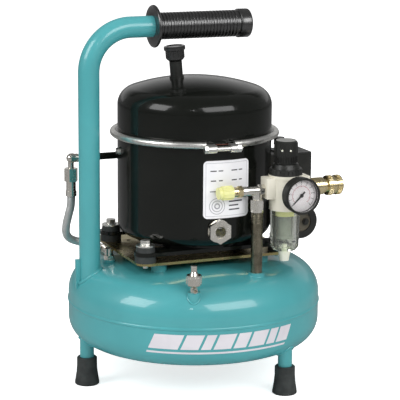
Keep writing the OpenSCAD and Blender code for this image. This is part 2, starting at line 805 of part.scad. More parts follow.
module piston() color("#9ea1a2") difference() {
  translate([piston_x, 0, bore_z]) along_x()
    cylinder(piston_len, cylinder_bore / 2 - run_fit, cylinder_bore / 2 - run_fit);
  translate([piston_x - 1, 0, bore_z]) along_x()
    cylinder(piston_len - piston_wall, cylinder_bore / 2 - piston_wall, cylinder_bore / 2 - piston_wall);
}

module connecting_rod() color("#b5b6b4") translate([0, 0, bore_z - rod_t / 2]) {
  difference() {
    union() {
      translate([crank_throw, 0, 0]) cylinder(rod_t, 8, 8);
      translate([wrist_x, 0, 0]) cylinder(rod_t, 6, 6);
      translate([crank_throw, -3.5, 0]) cube([rod_len, 7, rod_t]);
    }
    translate([crank_throw, 0, -1]) cylinder(rod_t + 2, crank_pin_r + 0.1, crank_pin_r + 0.1);
  }
  wrist_half = cylinder_bore / 2 - piston_wall - 0.5;
  translate([wrist_x, 0, rod_t / 2 - wrist_half]) cylinder(2 * wrist_half, wrist_r, wrist_r);
}

module head_bolts(x, length) {
  for (y = [-1, 1], z = [-1, 1]) translate([x, y * bolt_out, bore_z + z * bolt_out])
    along_x() cylinder(length, 2, 2);
}

module valve_plate() color("#c2c4c3") difference() {
  translate([bore_end, -barrel_out, bore_z - barrel_out])
    cube([valve_plate_t, 2 * barrel_out, 2 * barrel_out]);
  for (y = [-5, 5]) translate([bore_end - 1, y, bore_z]) along_x() cylinder(valve_plate_t + 2, 2.5, 2.5);
}

module cylinder_head() color("#8c8f90") {
  head_x = bore_end + valve_plate_t;
  difference() {
    translate([head_x, -barrel_out, bore_z - barrel_out]) cube([head_t, 2 * barrel_out, 2 * barrel_out]);
    for (y = [-1, 1]) translate([head_x - 1, y * 6.5, bore_z]) along_x() cylinder(8, 4.5, 4.5);
  }
  head_bolts(head_x + head_t, 3);
}

// ---------- electrics ----------

box_right = shell_r + box_out;
box_front = -40;
box_high = joint_z - 25.5;
box_low = box_high - box_h;
capacitor_pos = [shell_r + 31, box_front, box_low - capacitor_d / 2 - 6.5];
// The strap under the box that holds the capacitor
strap_y = box_front + 24;
strap_w = 12;
switch_pos = [shell_r + 10, box_front + box_depth / 2, box_high];
switch_stem_r = 3;

module switch_box() color("#262724") difference() {
  union() {
    translate([0, 0, box_low]) linear_extrude(box_h)
      rounded_between([shell_r - 30, box_front + 1.5], [box_right, box_front + box_depth], 3);
    translate([0, 0, box_low + 1]) linear_extrude(box_h - 2)
      rounded_between([shell_r - 30, box_front], [box_right - 1, box_front + 4], 1.5);
    translate(switch_pos - [0, 0, 1]) cylinder(2.5, 9, 9);
    translate([capacitor_pos.x - 3, strap_y, capacitor_pos.z])
      cube([6, strap_w, box_low - capacitor_pos.z + 1]);
    translate([capacitor_pos.x, strap_y, capacitor_pos.z]) along_y()
      cylinder(strap_w, capacitor_d / 2 + 2, capacitor_d / 2 + 2);
  }
  cylinder(joint_z, shell_r, shell_r);
  translate([shell_r + 6, box_front + 4, box_low + 3]) cube([box_out - 9, box_depth - 8, box_h - 6]);
  translate(switch_pos - [0, 0, 6]) cylinder(10, switch_stem_r + 0.2, switch_stem_r + 0.2);
  translate([capacitor_pos.x, box_front - 1, capacitor_pos.z]) along_y()
    cylinder(box_depth + 20, capacitor_d / 2, capacitor_d / 2);
}

module switch_knob() color("#191a19") translate(switch_pos) {
  translate([0, 0, 8]) cylinder(8, 6.5, 6);
  translate([0, 0, 1.8]) cylinder(6.4, 5.2, 5.2);
  translate([0, 0, -5]) cylinder(8, switch_stem_r, switch_stem_r);
}

module start_capacitor() color("#232422") translate(capacitor_pos) along_y() {
  difference() {
    union() {
      translate([0, 0, 1.5]) cylinder(capacitor_len - 3, capacitor_d / 2, capacitor_d / 2);
      cylinder(1.5, capacitor_d / 2 - 1.5, capacitor_d / 2);
      translate([0, 0, capacitor_len - 1.5]) cylinder(1.5, capacitor_d / 2, capacitor_d / 2 - 1.5);
    }
    translate([0, 0, -1]) cylinder(3, 11.5, 11.5);
  }
  translate([5, 0, -2]) cylinder(5, 2.5, 2.5);
  translate([5, 0, -0.5]) hex(7, 3);
}

// ---------- discharge line ----------

module discharge_tube() color("#232421") difference() {
  translate([elbow_x + 8, discharge_y, discharge_z]) along_x()
    tube(discharge_r, 80, discharge_r - 1.2);
  cylinder(joint_z, inner_r - 4, inner_r - 4);
  translate([-inner_r + 30, 0, discharge_z - 20]) cube([60, 80, 60]);
}

// The nickel elbows of the discharge line and of the tank's inlet
module elbow_fittings() color(nickel) {
  difference() {
    union() {
      translate([elbow_x, discharge_y, discharge_z]) sphere(5.2);
      translate([elbow_x, discharge_y, discharge_z]) along_x() cylinder(8, 5, 5);
      translate([elbow_x - 1, discharge_y, discharge_z]) along_x() cylinder(4, 5.6, 5.6);
      translate([elbow_x, discharge_y, discharge_z - 11.5]) cylinder(11.5, 3.4, 3.4);
    }
    translate([elbow_x, discharge_y, discharge_z]) along_x() cylinder(20, 2.5, 2.5);
    translate([elbow_x, discharge_y, discharge_z - 20]) cylinder(20, 2, 2);
  }
  difference() {
    union() {
      translate([inlet.x, inlet.y, inlet.z - inlet_drop]) hex(11, 5);
      translate([inlet.x, inlet.y, inlet.z - inlet_drop]) cylinder(13, 4.8, 4.8);
      translate(inlet) along_y() cylinder(10, 4.5, 4.5);
    }
    translate([inlet.x, inlet.y, inlet.z - 9]) cylinder(9, 2.5, 2.5);
    translate(inlet) along_y() cylinder(20, 2.5, 2.5);
  }
}

// Union nut and ferrule at the top of the hose, and the ferrule at its lower end
module hose_fittings() color(nickel) {
  translate([elbow_x, discharge_y, discharge_z - 26.5]) difference() {
    hex(14, 15);
    translate([0, 0, -1]) cylinder(20, 2, 2);
  }
  translate([elbow_x, discharge_y, hose_start.z]) tube(5.6, 11, 2);
  translate([elbow_x, discharge_y, hose_start.z - ferrule_len])
    tube(ferrule_r, ferrule_len, hose_d / 2 + hose_ease);
  translate([inlet.x, inlet.y + 10, inlet.z]) along_y() tube(5.2, 4, 2);
  translate(hose_end) along_y() tube(ferrule_r, ferrule_len, hose_d / 2 + hose_ease);
}

module hose() color("#b9bdbb") sweep(smooth_path(hose_route, 3), hose_d / 2, 10, [1, 0, 0]);

// ---------- riser, tee and safety valve ----------

module riser_pipe() color(nickel) translate([riser_x, fittings_y, riser_foot_z])
  tube(riser_d / 2, nut_z - riser_foot_z, pipe_bore / 2);

module riser_nut() color(nickel) translate([riser_x, fittings_y, nut_z]) difference() {
  union() {
    cylinder(3, riser_d / 2 + 0.6, riser_d / 2 + 0.6);
    translate([0, 0, 3]) hex(14, 11);
  }
  translate([0, 0, -1]) cylinder(20, pipe_bore / 2, pipe_bore / 2);
}

tee_left = riser_x - 19;
tee_end = regulator_left;
module outlet_tee() color(nickel) difference() {
  union() {
    translate([riser_x, fittings_y, nut_z + 14]) cylinder(outlet_z - nut_z - 14, 5.2, 5.2);
    translate([tee_left, fittings_y, outlet_z]) along_x() cylinder(tee_end - tee_left - 5, 5.4, 5.4);
    translate([tee_left, fittings_y, outlet_z]) along_x() cylinder(4, 6, 6);
    translate([tee_end - 7, fittings_y, outlet_z]) along_x() hex(12, 7);
  }
  translate([tee_left - 1, fittings_y, outlet_z]) along_x() cylinder(60, pipe_bore / 2, pipe_bore / 2);
  translate([riser_x, fittings_y, nut_z]) cylinder(outlet_z - nut_z, pipe_bore / 2, pipe_bore / 2);
}

valve_len = 11;
module safety_valve() color(brass) translate([tee_left, fittings_y, outlet_z]) against_x() {
  difference() {
    union() {
      hex(12, 5);
      translate([0, 0, 5]) cylinder(valve_len - 5, 5.6, 5.6);
      translate([0, 0, valve_len]) cylinder(8, 3, 3);
    }
    translate([0, 0, -1]) cylinder(6, 2.5, 2.5);
    for (a = [0, 90]) rotate([0, 0, a]) translate([-10, 0, 8]) along_x() cylinder(20, 1.2, 1.2);
  }
}

cap_travel = 2;
module safety_valve_cap() color("#e3e27a")
  translate([tee_left - valve_len - 0.3, fittings_y, outlet_z]) against_x() difference() {
    union() {
      cylinder(17, 6.6, 6.6);
      cylinder(13, 7.4, 7.4);
      for (a = [0 : 30 : 330]) rotate([0, 0, a]) translate([7.3, 0, 1]) cylinder(11, 0.8, 0.8);
    }
    translate([0, 0, -1]) cylinder(9 + cap_travel, 3.3, 3.3);
  }

// ---------- filter regulator ----------

// Width of the square ports on the body's sides, and the radius of the bowl's neck inside the body
port_w = 18;
bowl_neck_r = bowl_d / 2 - 4;

module at_regulator() { translate([regulator_x, fittings_y, 0]) children(); }

module regulator_body() color(ivory) difference() {
  union() {
    at_regulator() translate([0, 0, body_low])
      cylinder(body_high - body_low, regulator_d / 2, regulator_d / 2);
    translate([regulator_left, fittings_y - port_w / 2, outlet_z - port_w / 2])
      cube([port_span, port_w, port_w + 5]);
    at_regulator() translate([0, 0, outlet_z]) against_y() cylinder(regulator_d / 2 + 1, 8, 8);
    at_regulator() translate([0, 0, body_high - 4]) cylinder(4, regulator_d / 2 + 1, regulator_d / 2 + 1);
  }
  at_regulator() translate([0, 0, body_low - 1]) cylinder(17, bowl_neck_r, bowl_neck_r);
  at_regulator() translate([0, 0, body_high - 12]) cylinder(13, regulator_d / 2 - 4, regulator_d / 2 - 4);
  at_regulator() translate([0, 0, body_low + 14]) cylinder(20, 3, 3);
  translate([regulator_left - 1, fittings_y, outlet_z]) along_x()
    cylinder(port_span + 2, pipe_bore / 2, pipe_bore / 2);
  at_regulator() translate([0, 0, outlet_z]) against_y() cylinder(40, 2, 2);
  at_gauge(gauge_stem_y + gauge_stem_in) cylinder(10, gauge_stem_r, gauge_stem_r);
}

module regulator_bonnet() color("#1d1d1c") at_regulator() difference() {
  union() {
    translate([0, 0, body_high]) cylinder(7, regulator_d / 2 + 0.8, regulator_d / 2 - 0.4);
    translate([0, 0, body_high + 7]) cylinder(bonnet_top - body_high - 7, 15.5, 14);
    for (a = [0 : 15 : 345]) rotate([0, 0, a]) translate([regulator_d / 2 - 0.4, 0, body_high])
      cylinder(6, 1, 1);
  }
  translate([0, 0, body_high - 1]) cylinder(30, 9.5, 9.5);
}

module adjusting_screw() color("#b7b2a0") at_regulator() {
  translate([0, 0, body_high - 8]) cylinder(9, 4, 4);
  translate([0, 0, body_high + 1]) cylinder(bonnet_top - body_high + 5, 7, 7);
}

module regulator_knob() color("#191918") at_regulator() difference() {
  knob_z = bonnet_top + 0.5;
  union() {
    translate([0, 0, knob_z]) cylinder(7, knob_d / 2 - 0.6, knob_d / 2 - 0.6);
    translate([0, 0, knob_z + 7]) cylinder(17, knob_d / 2, knob_d / 2);
    translate([0, 0, knob_z + 24]) cylinder(1.5, knob_d / 2, knob_d / 2 - 1.5);
    for (a = [0 : 20 : 340]) rotate([0, 0, a]) translate([knob_d / 2 - 0.3, 0, knob_z + 9])
      cylinder(14, 0.9, 0.9);
  }
  translate([0, 0, knob_z - 1]) cylinder(8 + knob_lift, 7.05, 7.05);
}

module filter_element() color("#8b8e8a") at_regulator() {
  translate([0, 0, body_low - 30]) cylinder(23, 7.5, 7.5);
  translate([0, 0, body_low - 33]) cylinder(3, 9, 9);
  translate([0, 0, body_low - 7]) cylinder(7, 10.6, 10.6);
  translate([0, 0, body_low]) cylinder(12, 5, 5);
}

module filter_bowl() color("#d7dccf", 0.45) at_regulator() difference() {
  union() {
    translate([0, 0, bowl_low + 4]) cylinder(bowl_h - 4, bowl_d / 2 - 0.6, bowl_d / 2);
    translate([0, 0, bowl_low]) cylinder(4, bowl_d / 2 - 3.6, bowl_d / 2 - 0.6);
    translate([0, 0, body_low]) cylinder(9, bowl_neck_r, bowl_neck_r);
  }
  translate([0, 0, bowl_low + 3]) cylinder(bowl_h + 10, bowl_d / 2 - 6.5, bowl_d / 2 - 5.5);
  translate([0, 0, bowl_low - 1]) cylinder(5, 3.2, 3.2);
}

module bowl_drain() color("#e4e3d6") at_regulator() {
  difference() {
    union() {
      translate([0, 0, bowl_low - 13]) cylinder(8, 5.2, 6.4);
      translate([0, 0, bowl_low - 5]) cylinder(4.7, 6.8, 6.8);
      translate([0, 0, bowl_low - 5]) cylinder(11, 3, 3);
    }
    translate([0, 0, bowl_low - 14]) cylinder(21, 1.2, 1.2);
  }
}

// ---------- gauge ----------

gauge_stem_r = 4.5;
gauge_stem_in = 3;
gauge_case_h = 20;
gauge_taper = 7;
module at_gauge(y) { translate([regulator_x, y, outlet_z]) against_y() children(); }

module gauge_case() color("#161616") difference() {
  gauge_r = gauge_d / 2;
  union() {
    at_gauge(gauge_stem_y + gauge_stem_in) cylinder(13, gauge_stem_r, gauge_stem_r);
    at_gauge(gauge_stem_y - 1) hex(12, 6);
    at_gauge(gauge_back_y) cylinder(gauge_taper, gauge_r - gauge_taper, gauge_r);
    at_gauge(gauge_back_y - gauge_taper) cylinder(gauge_case_h - gauge_taper, gauge_r, gauge_r);
    at_gauge(gauge_back_y - 16) cylinder(3.5, gauge_r + 0.5, gauge_r + 0.5);
  }
  at_gauge(gauge_back_y - 13) cylinder(10, gauge_d / 2 - 2, gauge_d / 2 - 2);
}

module gauge_dial() color("#f0efec") at_gauge(gauge_back_y - 13) {
  cylinder(1, gauge_d / 2 - 2.05, gauge_d / 2 - 2.05);
  cylinder(1.8, 0.8, 0.8);
}

// The needle, pointing at zero, down and to the left as seen from the front
needle_rest = 225;
module gauge_needle() color("#1b1b1b") at_gauge(gauge_back_y - 14.6) rotate([0, 0, needle_rest])
difference() {
  union() {
    translate([-5.5, -0.9, 0]) cube([6, 1.8, 0.6]);
    linear_extrude(0.6) polygon([[0, -1.1], [gauge_d / 2 - 6, -0.3], [gauge_d / 2 - 6, 0.3], [0, 1.1]]);
    cylinder(1.2, 2, 2);
  }
  translate([0, 0, -1]) cylinder(1.6, 0.85, 0.85);
}

// ---------- quick coupler ----------

coupler_len = 43;
nose_d = 16;
nose_start = 19;
module at_coupler() { translate([regulator_right, fittings_y, outlet_z]) along_x() children(); }

module coupler_body() color(brass) at_coupler() difference() {
  union() {
    hex(17, 7);
    translate([0, 0, 7]) cylinder(nose_start - 7, 9.8, 9.8);
    translate([0, 0, nose_start]) cylinder(coupler_len - nose_start, nose_d / 2, nose_d / 2);
  }
  translate([0, 0, -1]) cylinder(coupler_len, pipe_bore / 2, pipe_bore / 2);
  translate([0, 0, coupler_len - 14]) cylinder(15, coupler_bore / 2, coupler_bore / 2);
}

sleeve_start = nose_start + sleeve_travel + 1;
module coupler_sleeve() color(brass) at_coupler() translate([0, 0, sleeve_start]) {
  length = coupler_len - sleeve_start - 1.5;
  difference() {
    union() {
      cylinder(length, 10.2, 10.2);
      cylinder(6.5, 11, 11);
      translate([0, 0, length - 7]) cylinder(6, 11, 11);
    }
    translate([0, 0, -1]) cylinder(length + 2, nose_d / 2 + run_fit, nose_d / 2 + run_fit);
  }
}

// ---------- drain valve on the tank's shoulder ----------

module drain_valve() color(nickel) translate([valve_pos.x, valve_pos.y, valve_foot_z]) {
  body_h = valve_knob_z - valve_foot_z;
  nozzle_z = 2.9;
  difference() {
    union() {
      cylinder(body_h - 2.4, 4.5, 4.5);
      translate([0, 0, body_h - 2.4]) cylinder(2.1, 4.5, 7.6);
      translate([0, 0, body_h - 1]) cylinder(14, 2.5, 2.5);
      translate([0, 0, nozzle_z]) rotate([0, 0, -12]) against_y() cylinder(9, 2.6, 2.6);
    }
    translate([0, 0, -1]) cylinder(nozzle_z + 1, 1.3, 1.3);
    translate([0, 0, nozzle_z]) rotate([0, 0, -12]) against_y() cylinder(12, 1.6, 1.6);
  }
}

module drain_valve_knob() color(nickel) translate([valve_pos.x, valve_pos.y, valve_knob_z]) difference() {
  union() {
    cylinder(11, 8.2, 8.2);
    for (a = [0 : 20 : 340]) rotate([0, 0, a]) translate([8, 0, 1.5]) cylinder(8, 0.7, 0.7);
    translate([0, 0, 11]) cylinder(4, 5, 3.6);
    translate([0, 0, 15]) cylinder(6.5, 3.6, 3.6);
  }
  translate([0, 0, -1]) cylinder(16, 2.55, 2.55);
}

// ---------- one line for each node ----------

tank_upper_shell();
tank_lower_shell();
tank_legs();
rubber_feet();
weld_bosses();
handle_tube();
handle_grip();
base_plate();
vibration_mounts();
mount_bolts();
mount_washers();
foot_strips();
shell_pot();
shell_lid();
shell_gasket();
clamp_ring();
clamp_bolt();
clamp_nut();
intake_neck();
intake_filter();
rating_label();
sight_glass_nut();
sight_glass_window();
earth_screw();
stator_core();
stator_windings();
suspension_springs();
rotor();
crankshaft();
crankcase();
piston();
connecting_rod();
valve_plate();
cylinder_head();
switch_box();
switch_knob();
start_capacitor();
discharge_tube();
elbow_fittings();
hose_fittings();
hose();
riser_pipe();
riser_nut();
outlet_tee();
safety_valve();
safety_valve_cap();
regulator_body();
regulator_bonnet();
adjusting_screw();
regulator_knob();
filter_element();
filter_bowl();
bowl_drain();
gauge_case();
gauge_dial();
gauge_needle();
coupler_body();
coupler_sleeve();
drain_valve();
drain_valve_knob();
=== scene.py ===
import math

import bpy
from bpy.props import FloatProperty, FloatVectorProperty, IntProperty, PointerProperty
from mathutils import Matrix, Vector


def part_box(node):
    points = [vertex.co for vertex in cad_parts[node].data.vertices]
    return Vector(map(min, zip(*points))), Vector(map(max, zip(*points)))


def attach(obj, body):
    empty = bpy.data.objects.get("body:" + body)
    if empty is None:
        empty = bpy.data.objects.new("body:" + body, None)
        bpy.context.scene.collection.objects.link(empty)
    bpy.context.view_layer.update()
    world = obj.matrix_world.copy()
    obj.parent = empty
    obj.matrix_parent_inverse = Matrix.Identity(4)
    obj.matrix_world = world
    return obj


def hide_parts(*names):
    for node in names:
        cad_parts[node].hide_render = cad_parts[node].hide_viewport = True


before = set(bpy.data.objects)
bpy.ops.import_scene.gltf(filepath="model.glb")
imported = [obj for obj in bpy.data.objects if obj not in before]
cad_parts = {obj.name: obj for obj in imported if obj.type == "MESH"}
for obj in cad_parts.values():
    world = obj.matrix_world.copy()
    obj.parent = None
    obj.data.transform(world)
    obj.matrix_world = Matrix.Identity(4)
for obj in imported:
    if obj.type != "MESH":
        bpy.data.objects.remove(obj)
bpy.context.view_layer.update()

bl_info = {
    "name": "Airbrush Compressor",
    "version": (1, 0, 0),
    "blender": (4, 5, 0),
    "location": "3D View > Sidebar > Compressor",
    "description": "Finishes and detail pieces for a quiet airbrush compressor",
    "category": "Object",
}

MM = 0.001

# The hose's route in metres, from the discharge fitting down behind the upright to the tank's inlet
HOSE_ROUTE = [
    (-0.136, 0.038, 0.2185), (-0.136, 0.038, 0.214), (-0.136, 0.038, 0.209),
    (-0.1365, 0.0385, 0.200), (-0.1385, 0.040, 0.190), (-0.140, 0.044, 0.178),
    (-0.138, 0.051, 0.166), (-0.131, 0.058, 0.1575), (-0.120, 0.0605, 0.1525),
    (-0.109, 0.056, 0.150), (-0.102, 0.046, 0.1485), (-0.099, 0.038, 0.148),
    (-0.099, 0.033, 0.148), (-0.099, 0.028, 0.148),
]
ROUTE_STEPS = 36

# The slanted bars on the tank's side: their widths in turn, the gap between them, and their middle height
BAR_WIDTHS = [width * MM for width in (34, 20, 11, 20, 15, 20, 11, 17)]
BAR_GAP = 3 * MM
BARS_WIDTH = sum(BAR_WIDTHS) + BAR_GAP * (len(BAR_WIDTHS) - 1)
BARS_HEIGHT = 77 * MM
# The way the bars face, from +X, and how far they lean sideways for their height
BARS_ANGLE = math.radians(-98)
BARS_SLANT = 0.45

# The studio lights: name, place and size in metres, and share of the key power; they all aim at one spot
STUDIO_LIGHTS = [
    ("softbox_top", (0.1, 0.1, 1.9), (1.8, 1.8), 0.66),
    ("softbox_left", (-1.6, -0.3, 1.24), (0.9, 0.95), 0.86),
    ("softbox_right", (0.45, -1.58, 1.2), (1.5, 0.86), 1.08),
    ("lamp_front", (-0.75, -1.7, 1.15), (0.09, 0.09), 0.03),
]
LIGHTS_AIM = Vector((0, 0, 0.25))
# Where the camera aims, and its roll, lens and sensor
CAMERA_AIM = Vector((0.0056, -0.0045, 0.2053))
CAMERA_ROLL = 0.0074
CAMERA_LENS = 159.9
CAMERA_SENSOR = 36
# The glowing cloth behind the object: place, size, turn, and the key power that gives it a strength of 1
CLOTH_PLACE = (0.65, 1.6, 1.15)
CLOTH_SIZE = (3.4, 1.3, 1)
CLOTH_TURN = math.radians(-22)
CLOTH_FULL_POWER = 30

# How bright the room is to reflections and to soft light, and the floor's own glow beside the object
ROOM_GLOSS = 0.2
ROOM_SOFT = 0.3
FLOOR_GLOW = 0.72
FLOOR_MIRRORED = (0.33, 0.33, 0.33, 1)


# ---------- colours and nodes ----------

def linear(hex_colour):
    """The linear RGB colour of an sRGB hex value such as #5baeb2."""
    levels = [int(hex_colour[i:i + 2], 16) / 255 for i in (1, 3, 5)]
    return [x / 12.92 if x <= 0.04045 else ((x + 0.055) / 1.055) ** 2.4 for x in levels]


def rgba(colour, share=1.0):
    """A colour as four numbers, lightened or darkened by a share."""
    return [min(1.0, x * share) for x in colour[:3]] + [1.0]


def node(tree, kind, inputs=None, **settings):
    """Adds a node to a tree, sets its settings, and fills its inputs with values or with outputs."""
    made = tree.nodes.new(kind)
    for name, value in settings.items():
        setattr(made, name, value)
    for name, value in (inputs or {}).items():
        if isinstance(value, bpy.types.NodeSocket):
            tree.links.new(value, made.inputs[name])
        else:
            made.inputs[name].default_value = value
    return made


def grain(tree, size_mm, detail=3.0, stretch=(1, 1, 1)):
    """Noise of that size on the object's own coordinates, from 0 to 1."""
    place = node(tree, "ShaderNodeTexCoord").outputs["Object"]
    if stretch != (1, 1, 1):
        place = node(tree, "ShaderNodeMapping", {"Vector": place, "Scale": stretch}).outputs[0]
    scale = 1 / (size_mm * MM)
    return node(tree, "ShaderNodeTexNoise", {"Vector": place, "Scale": scale, "Detail": detail}).outputs[0]


def between(tree, share, low, high):
    """A number that goes from low to high as the share goes from 0.3 to 0.7."""
    return node(tree, "ShaderNodeMapRange",
                {"Value": share, "From Min": 0.3, "From Max": 0.7, "To Min": low, "To Max": high}).outputs[0]


def blended(tree, share, first, second):
    """The first colour where the share is low and the second where it is high."""
    return node(tree, "ShaderNodeMix", {0: between(tree, share, 0, 1), 6: first, 7: second},
                data_type="RGBA").outputs[2]


def bumped(tree, height, depth_mm):
    """A normal for a surface that rises and falls by that depth."""
    return node(tree, "ShaderNodeBump",
                {"Height": height, "Distance": depth_mm * MM, "Strength": 1.0}).outputs[0]


def bare_material(name):
    """A new material with no nodes yet, and its tree."""
    material = bpy.data.materials.new(name)
    material.use_nodes = True
    material.node_tree.nodes.clear()
    return material, material.node_tree


def finish(name, light, dark, patch_mm, smooth, rough, grain_mm, grain_depth_mm, stretch=(1, 1, 1),
           **shader):
    """A material that varies over patches, with a fine grain in its gloss and its height."""
    material, tree = bare_material(name)
    fine = grain(tree, grain_mm, stretch=stretch)
    inputs = {
        "Base Color": blended(tree, grain(tree, patch_mm), rgba(dark), rgba(light)),
        "Roughness": between(tree, grain(tree, patch_mm * 0.4, stretch=stretch), smooth, rough),
        "Normal": bumped(tree, fine, grain_depth_mm),
    }
    inputs.update({key.replace("_", " "): value for key, value in shader.items()})
    surface = node(tree, "ShaderNodeBsdfPrincipled", inputs)
    node(tree, "ShaderNodeOutputMaterial", {"Surface": surface.outputs[0]})
    return material


def base_of(material):
    """The shader of a material."""
    return next(n for n in material.node_tree.nodes if n.type == "BSDF_PRINCIPLED")


def overlaid(material, share, colour):
    """Mixes a colour over a material's own colour, by the share."""
    tree = material.node_tree
    base = base_of(material).inputs["Base Color"]
    plain = base.links[0].from_socket
    mixed = node(tree, "ShaderNodeMix", {0: share, 6: plain, 7: colour}, data_type="RGBA")
    tree.links.new(mixed.outputs[2], base)
    return material


# ---------- finishes ----------

def teal_enamel():
    """Gloss stoving enamel over steel, sprayed: a clear wet shine over a faint orange peel."""
    colour = bpy.context.scene.compressor_tank.enamel
    return finish("teal_enamel", rgba(colour, 1.04), rgba(colour, 0.93), 60, 0.3, 0.42, 2.2, 0.012,
                  Coat_Weight=0.6, Coat_Roughness=0.06, Specular_IOR_Level=0.4)


def black_enamel():
    """Gloss black enamel on deep-drawn steel: nearly black, with sharp reflections that ripple a little."""
    return finish("black_enamel", linear("#121411"), linear("#0d0f0c"), 45, 0.16, 0.24, 5.0, 0.012,
                  Coat_Weight=0.28, Coat_Roughness=0.05, Specular_IOR_Level=0.2)


def black_rubber():
    """Moulded EPDM rubber: dull charcoal with a dusty bloom and a fine mould texture."""
    return finish("black_rubber", linear("#3b3f3e"), linear("#2c2f2f"), 9, 0.5, 0.7, 0.5, 0.03,
                  Specular_IOR_Level=0.4)


def grip_vinyl():
    """Dipped PVC grip: black and slick, so each rib carries a bright line."""
    return finish("grip_vinyl", linear("#1a1a1a"), linear("#131313"), 12, 0.26, 0.34, 0.8, 0.004,
                  Specular_IOR_Level=0.9, Coat_Weight=0.9, Coat_Roughness=0.22)


def yellow_zinc():
    """Yellow-chromated zinc on steel sheet: a dark brassy shine that drifts to green and rose."""
    material = finish("yellow_zinc", linear("#cfc08a"), linear("#a1966a"), 26, 0.22, 0.36, 0.7, 0.01,
                      Metallic=1.0)
    tree = material.node_tree
    rose = blended(tree, grain(tree, 17, 4.0), rgba(linear("#a98d6a")), rgba(linear("#a6a56a")))
    return overlaid(material, 0.45, rose)


def bright_zinc():
    """Clear-passivated zinc plate: pale grey metal with a soft drawn sheen."""
    return finish("bright_zinc", linear("#f6f5f1"), linear("#e2e1dc"), 8, 0.26, 0.4, 0.4, 0.006,
                  Metallic=1.0)


def joint_rubber():
    """Die-cut fibre and rubber gasket: dull red-brown."""
    return finish("joint_rubber", linear("#6b3428"), linear("#542a22"), 3, 0.7, 0.85, 0.4, 0.02)


def nickel():
    """Nickel-plated brass fitting: warm grey mirror with fine turning marks and handling marks."""
    return finish("nickel", linear("#f6f3ec"), linear("#e0dcd2"), 12, 0.14, 0.3, 0.5, 0.006,
                  stretch=(1, 1, 3), Metallic=1.0)


def aged_nickel():
    """Nickel plate, darker and browner than the other fittings, on the riser."""
    return finish("aged_nickel", linear("#98917f"), linear("#6f6a5b"), 9, 0.18, 0.34, 0.5, 0.008,
                  stretch=(1, 1, 0.2), Metallic=1.0)


def brass():
    """Turned brass, lightly handled: yellow metal, with duller fingered patches."""
    return finish("brass", linear("#fdf0c8"), linear("#e6d3a0"), 7, 0.16, 0.32, 0.4, 0.008, Metallic=1.0)


def label_film():
    """White polyester label film: satin, and very even."""
    return finish("label_film", linear("#f0f0f3"), linear("#e6e6ea"), 30, 0.34, 0.42, 1.0, 0.002)


def sight_glass():
    """Sight glass with oil behind it: deep olive with a clear face."""
    return finish("sight_glass", linear("#4c4a2c"), linear("#22221a"), 3, 0.05, 0.1, 3.0, 0.002,
                  Coat_Weight=1.0, Coat_Roughness=0.02)


def electrical_steel():
    """Stacked electrical-steel sheets: blue-grey, with the edges of the stack as fine lines."""
    return finish("electrical_steel", linear("#7d8288"), linear("#5c6066"), 9, 0.35, 0.5, 0.5, 0.05,
                  stretch=(0.05, 0.05, 2), Metallic=0.9)


def copper_winding():
    """Enamelled copper wire, laced in a bundle: red-orange under a clear varnish."""
    return finish("copper_winding", linear("#b5653a"), linear("#7d3d20"), 2.5, 0.25, 0.4, 0.9, 0.2,
                  Metallic=0.9, Coat_Weight=0.6)


def spring_steel():
    """Oil-tempered spring wire: dark and slightly blue."""
    return finish("spring_steel", linear("#6d7075"), linear("#4a4d52"), 5, 0.25, 0.4, 0.3, 0.004,
                  Metallic=1.0)


def cast_iron():
    """Cast iron, oily from the sump: dark grey with a sand-cast skin."""
    return finish("cast_iron", linear("#62645f"), linear("#464843"), 7, 0.4, 0.6, 1.2, 0.12,
                  Metallic=0.8)


def machined_steel():
    """Ground and turned steel: bright, with fine marks round the axis."""
    return finish("machined_steel", linear("#bfc0be"), linear("#9d9f9e"), 6, 0.18, 0.3, 0.35, 0.006,
                  Metallic=1.0)


def black_plastic():
    """Moulded glass-filled nylon: black with a fine spark-eroded texture."""
    return finish("black_plastic", linear("#232421"), linear("#1a1b19"), 14, 0.32, 0.46, 0.5, 0.018,
                  Specular_IOR_Level=0.5)


def ivory_plastic():
    """Ivory powder coat over a die casting: warm off-white, with a soft pebble."""
    return finish("ivory_plastic", linear("#e9e5d6"), linear("#dbd7c7"), 16, 0.35, 0.5, 0.9, 0.015)


def yellow_plastic():
    """Pale yellow polypropylene: waxy, and lit a little from within."""
    return finish("yellow_plastic", linear("#e9e9a8"), linear("#dcdb92"), 6, 0.3, 0.42, 0.7, 0.01,
                  Subsurface_Weight=0.15, Subsurface_Radius=(0.004, 0.004, 0.001))


def white_plastic():
    """Natural acetal: milky white and smooth."""
    return finish("white_plastic", linear("#e6e6d9"), linear("#d8d9ca"), 6, 0.3, 0.42, 0.6, 0.008,
                  Subsurface_Weight=0.15, Subsurface_Radius=(0.004, 0.004, 0.003))


def lit_through(material, tint):
    """Lets light and shadow rays pass a clear material, tinted, so that what stands in it is lit."""
    tree = material.node_tree
    output = next(n for n in tree.nodes if n.type == "OUTPUT_MATERIAL")
    through = node(tree, "ShaderNodeBsdfTransparent", {"Color": rgba(tint)}).outputs[0]
    ray = node(tree, "ShaderNodeLightPath").outputs
    passing = node(tree, "ShaderNodeMath", {0: ray["Is Shadow Ray"], 1: ray["Is Diffuse Ray"]},
                   operation="MAXIMUM").outputs[0]
    mixed = node(tree, "ShaderNodeMixShader", {0: passing, 1: base_of(material).outputs[0], 2: through})
    tree.links.new(mixed.outputs[0], output.inputs["Surface"])
    return material


def clear_bowl():
    """Moulded polycarbonate: clear, with a faint green in its thick edges and light scuffs."""
    material = finish("clear_bowl", linear("#fbfdf8"), linear("#f2f7ec"), 14, 0.02, 0.08, 4.0, 0.004,
                      Transmission_Weight=0.95, IOR=1.33)
    return lit_through(material, linear("#f6f8f2"))


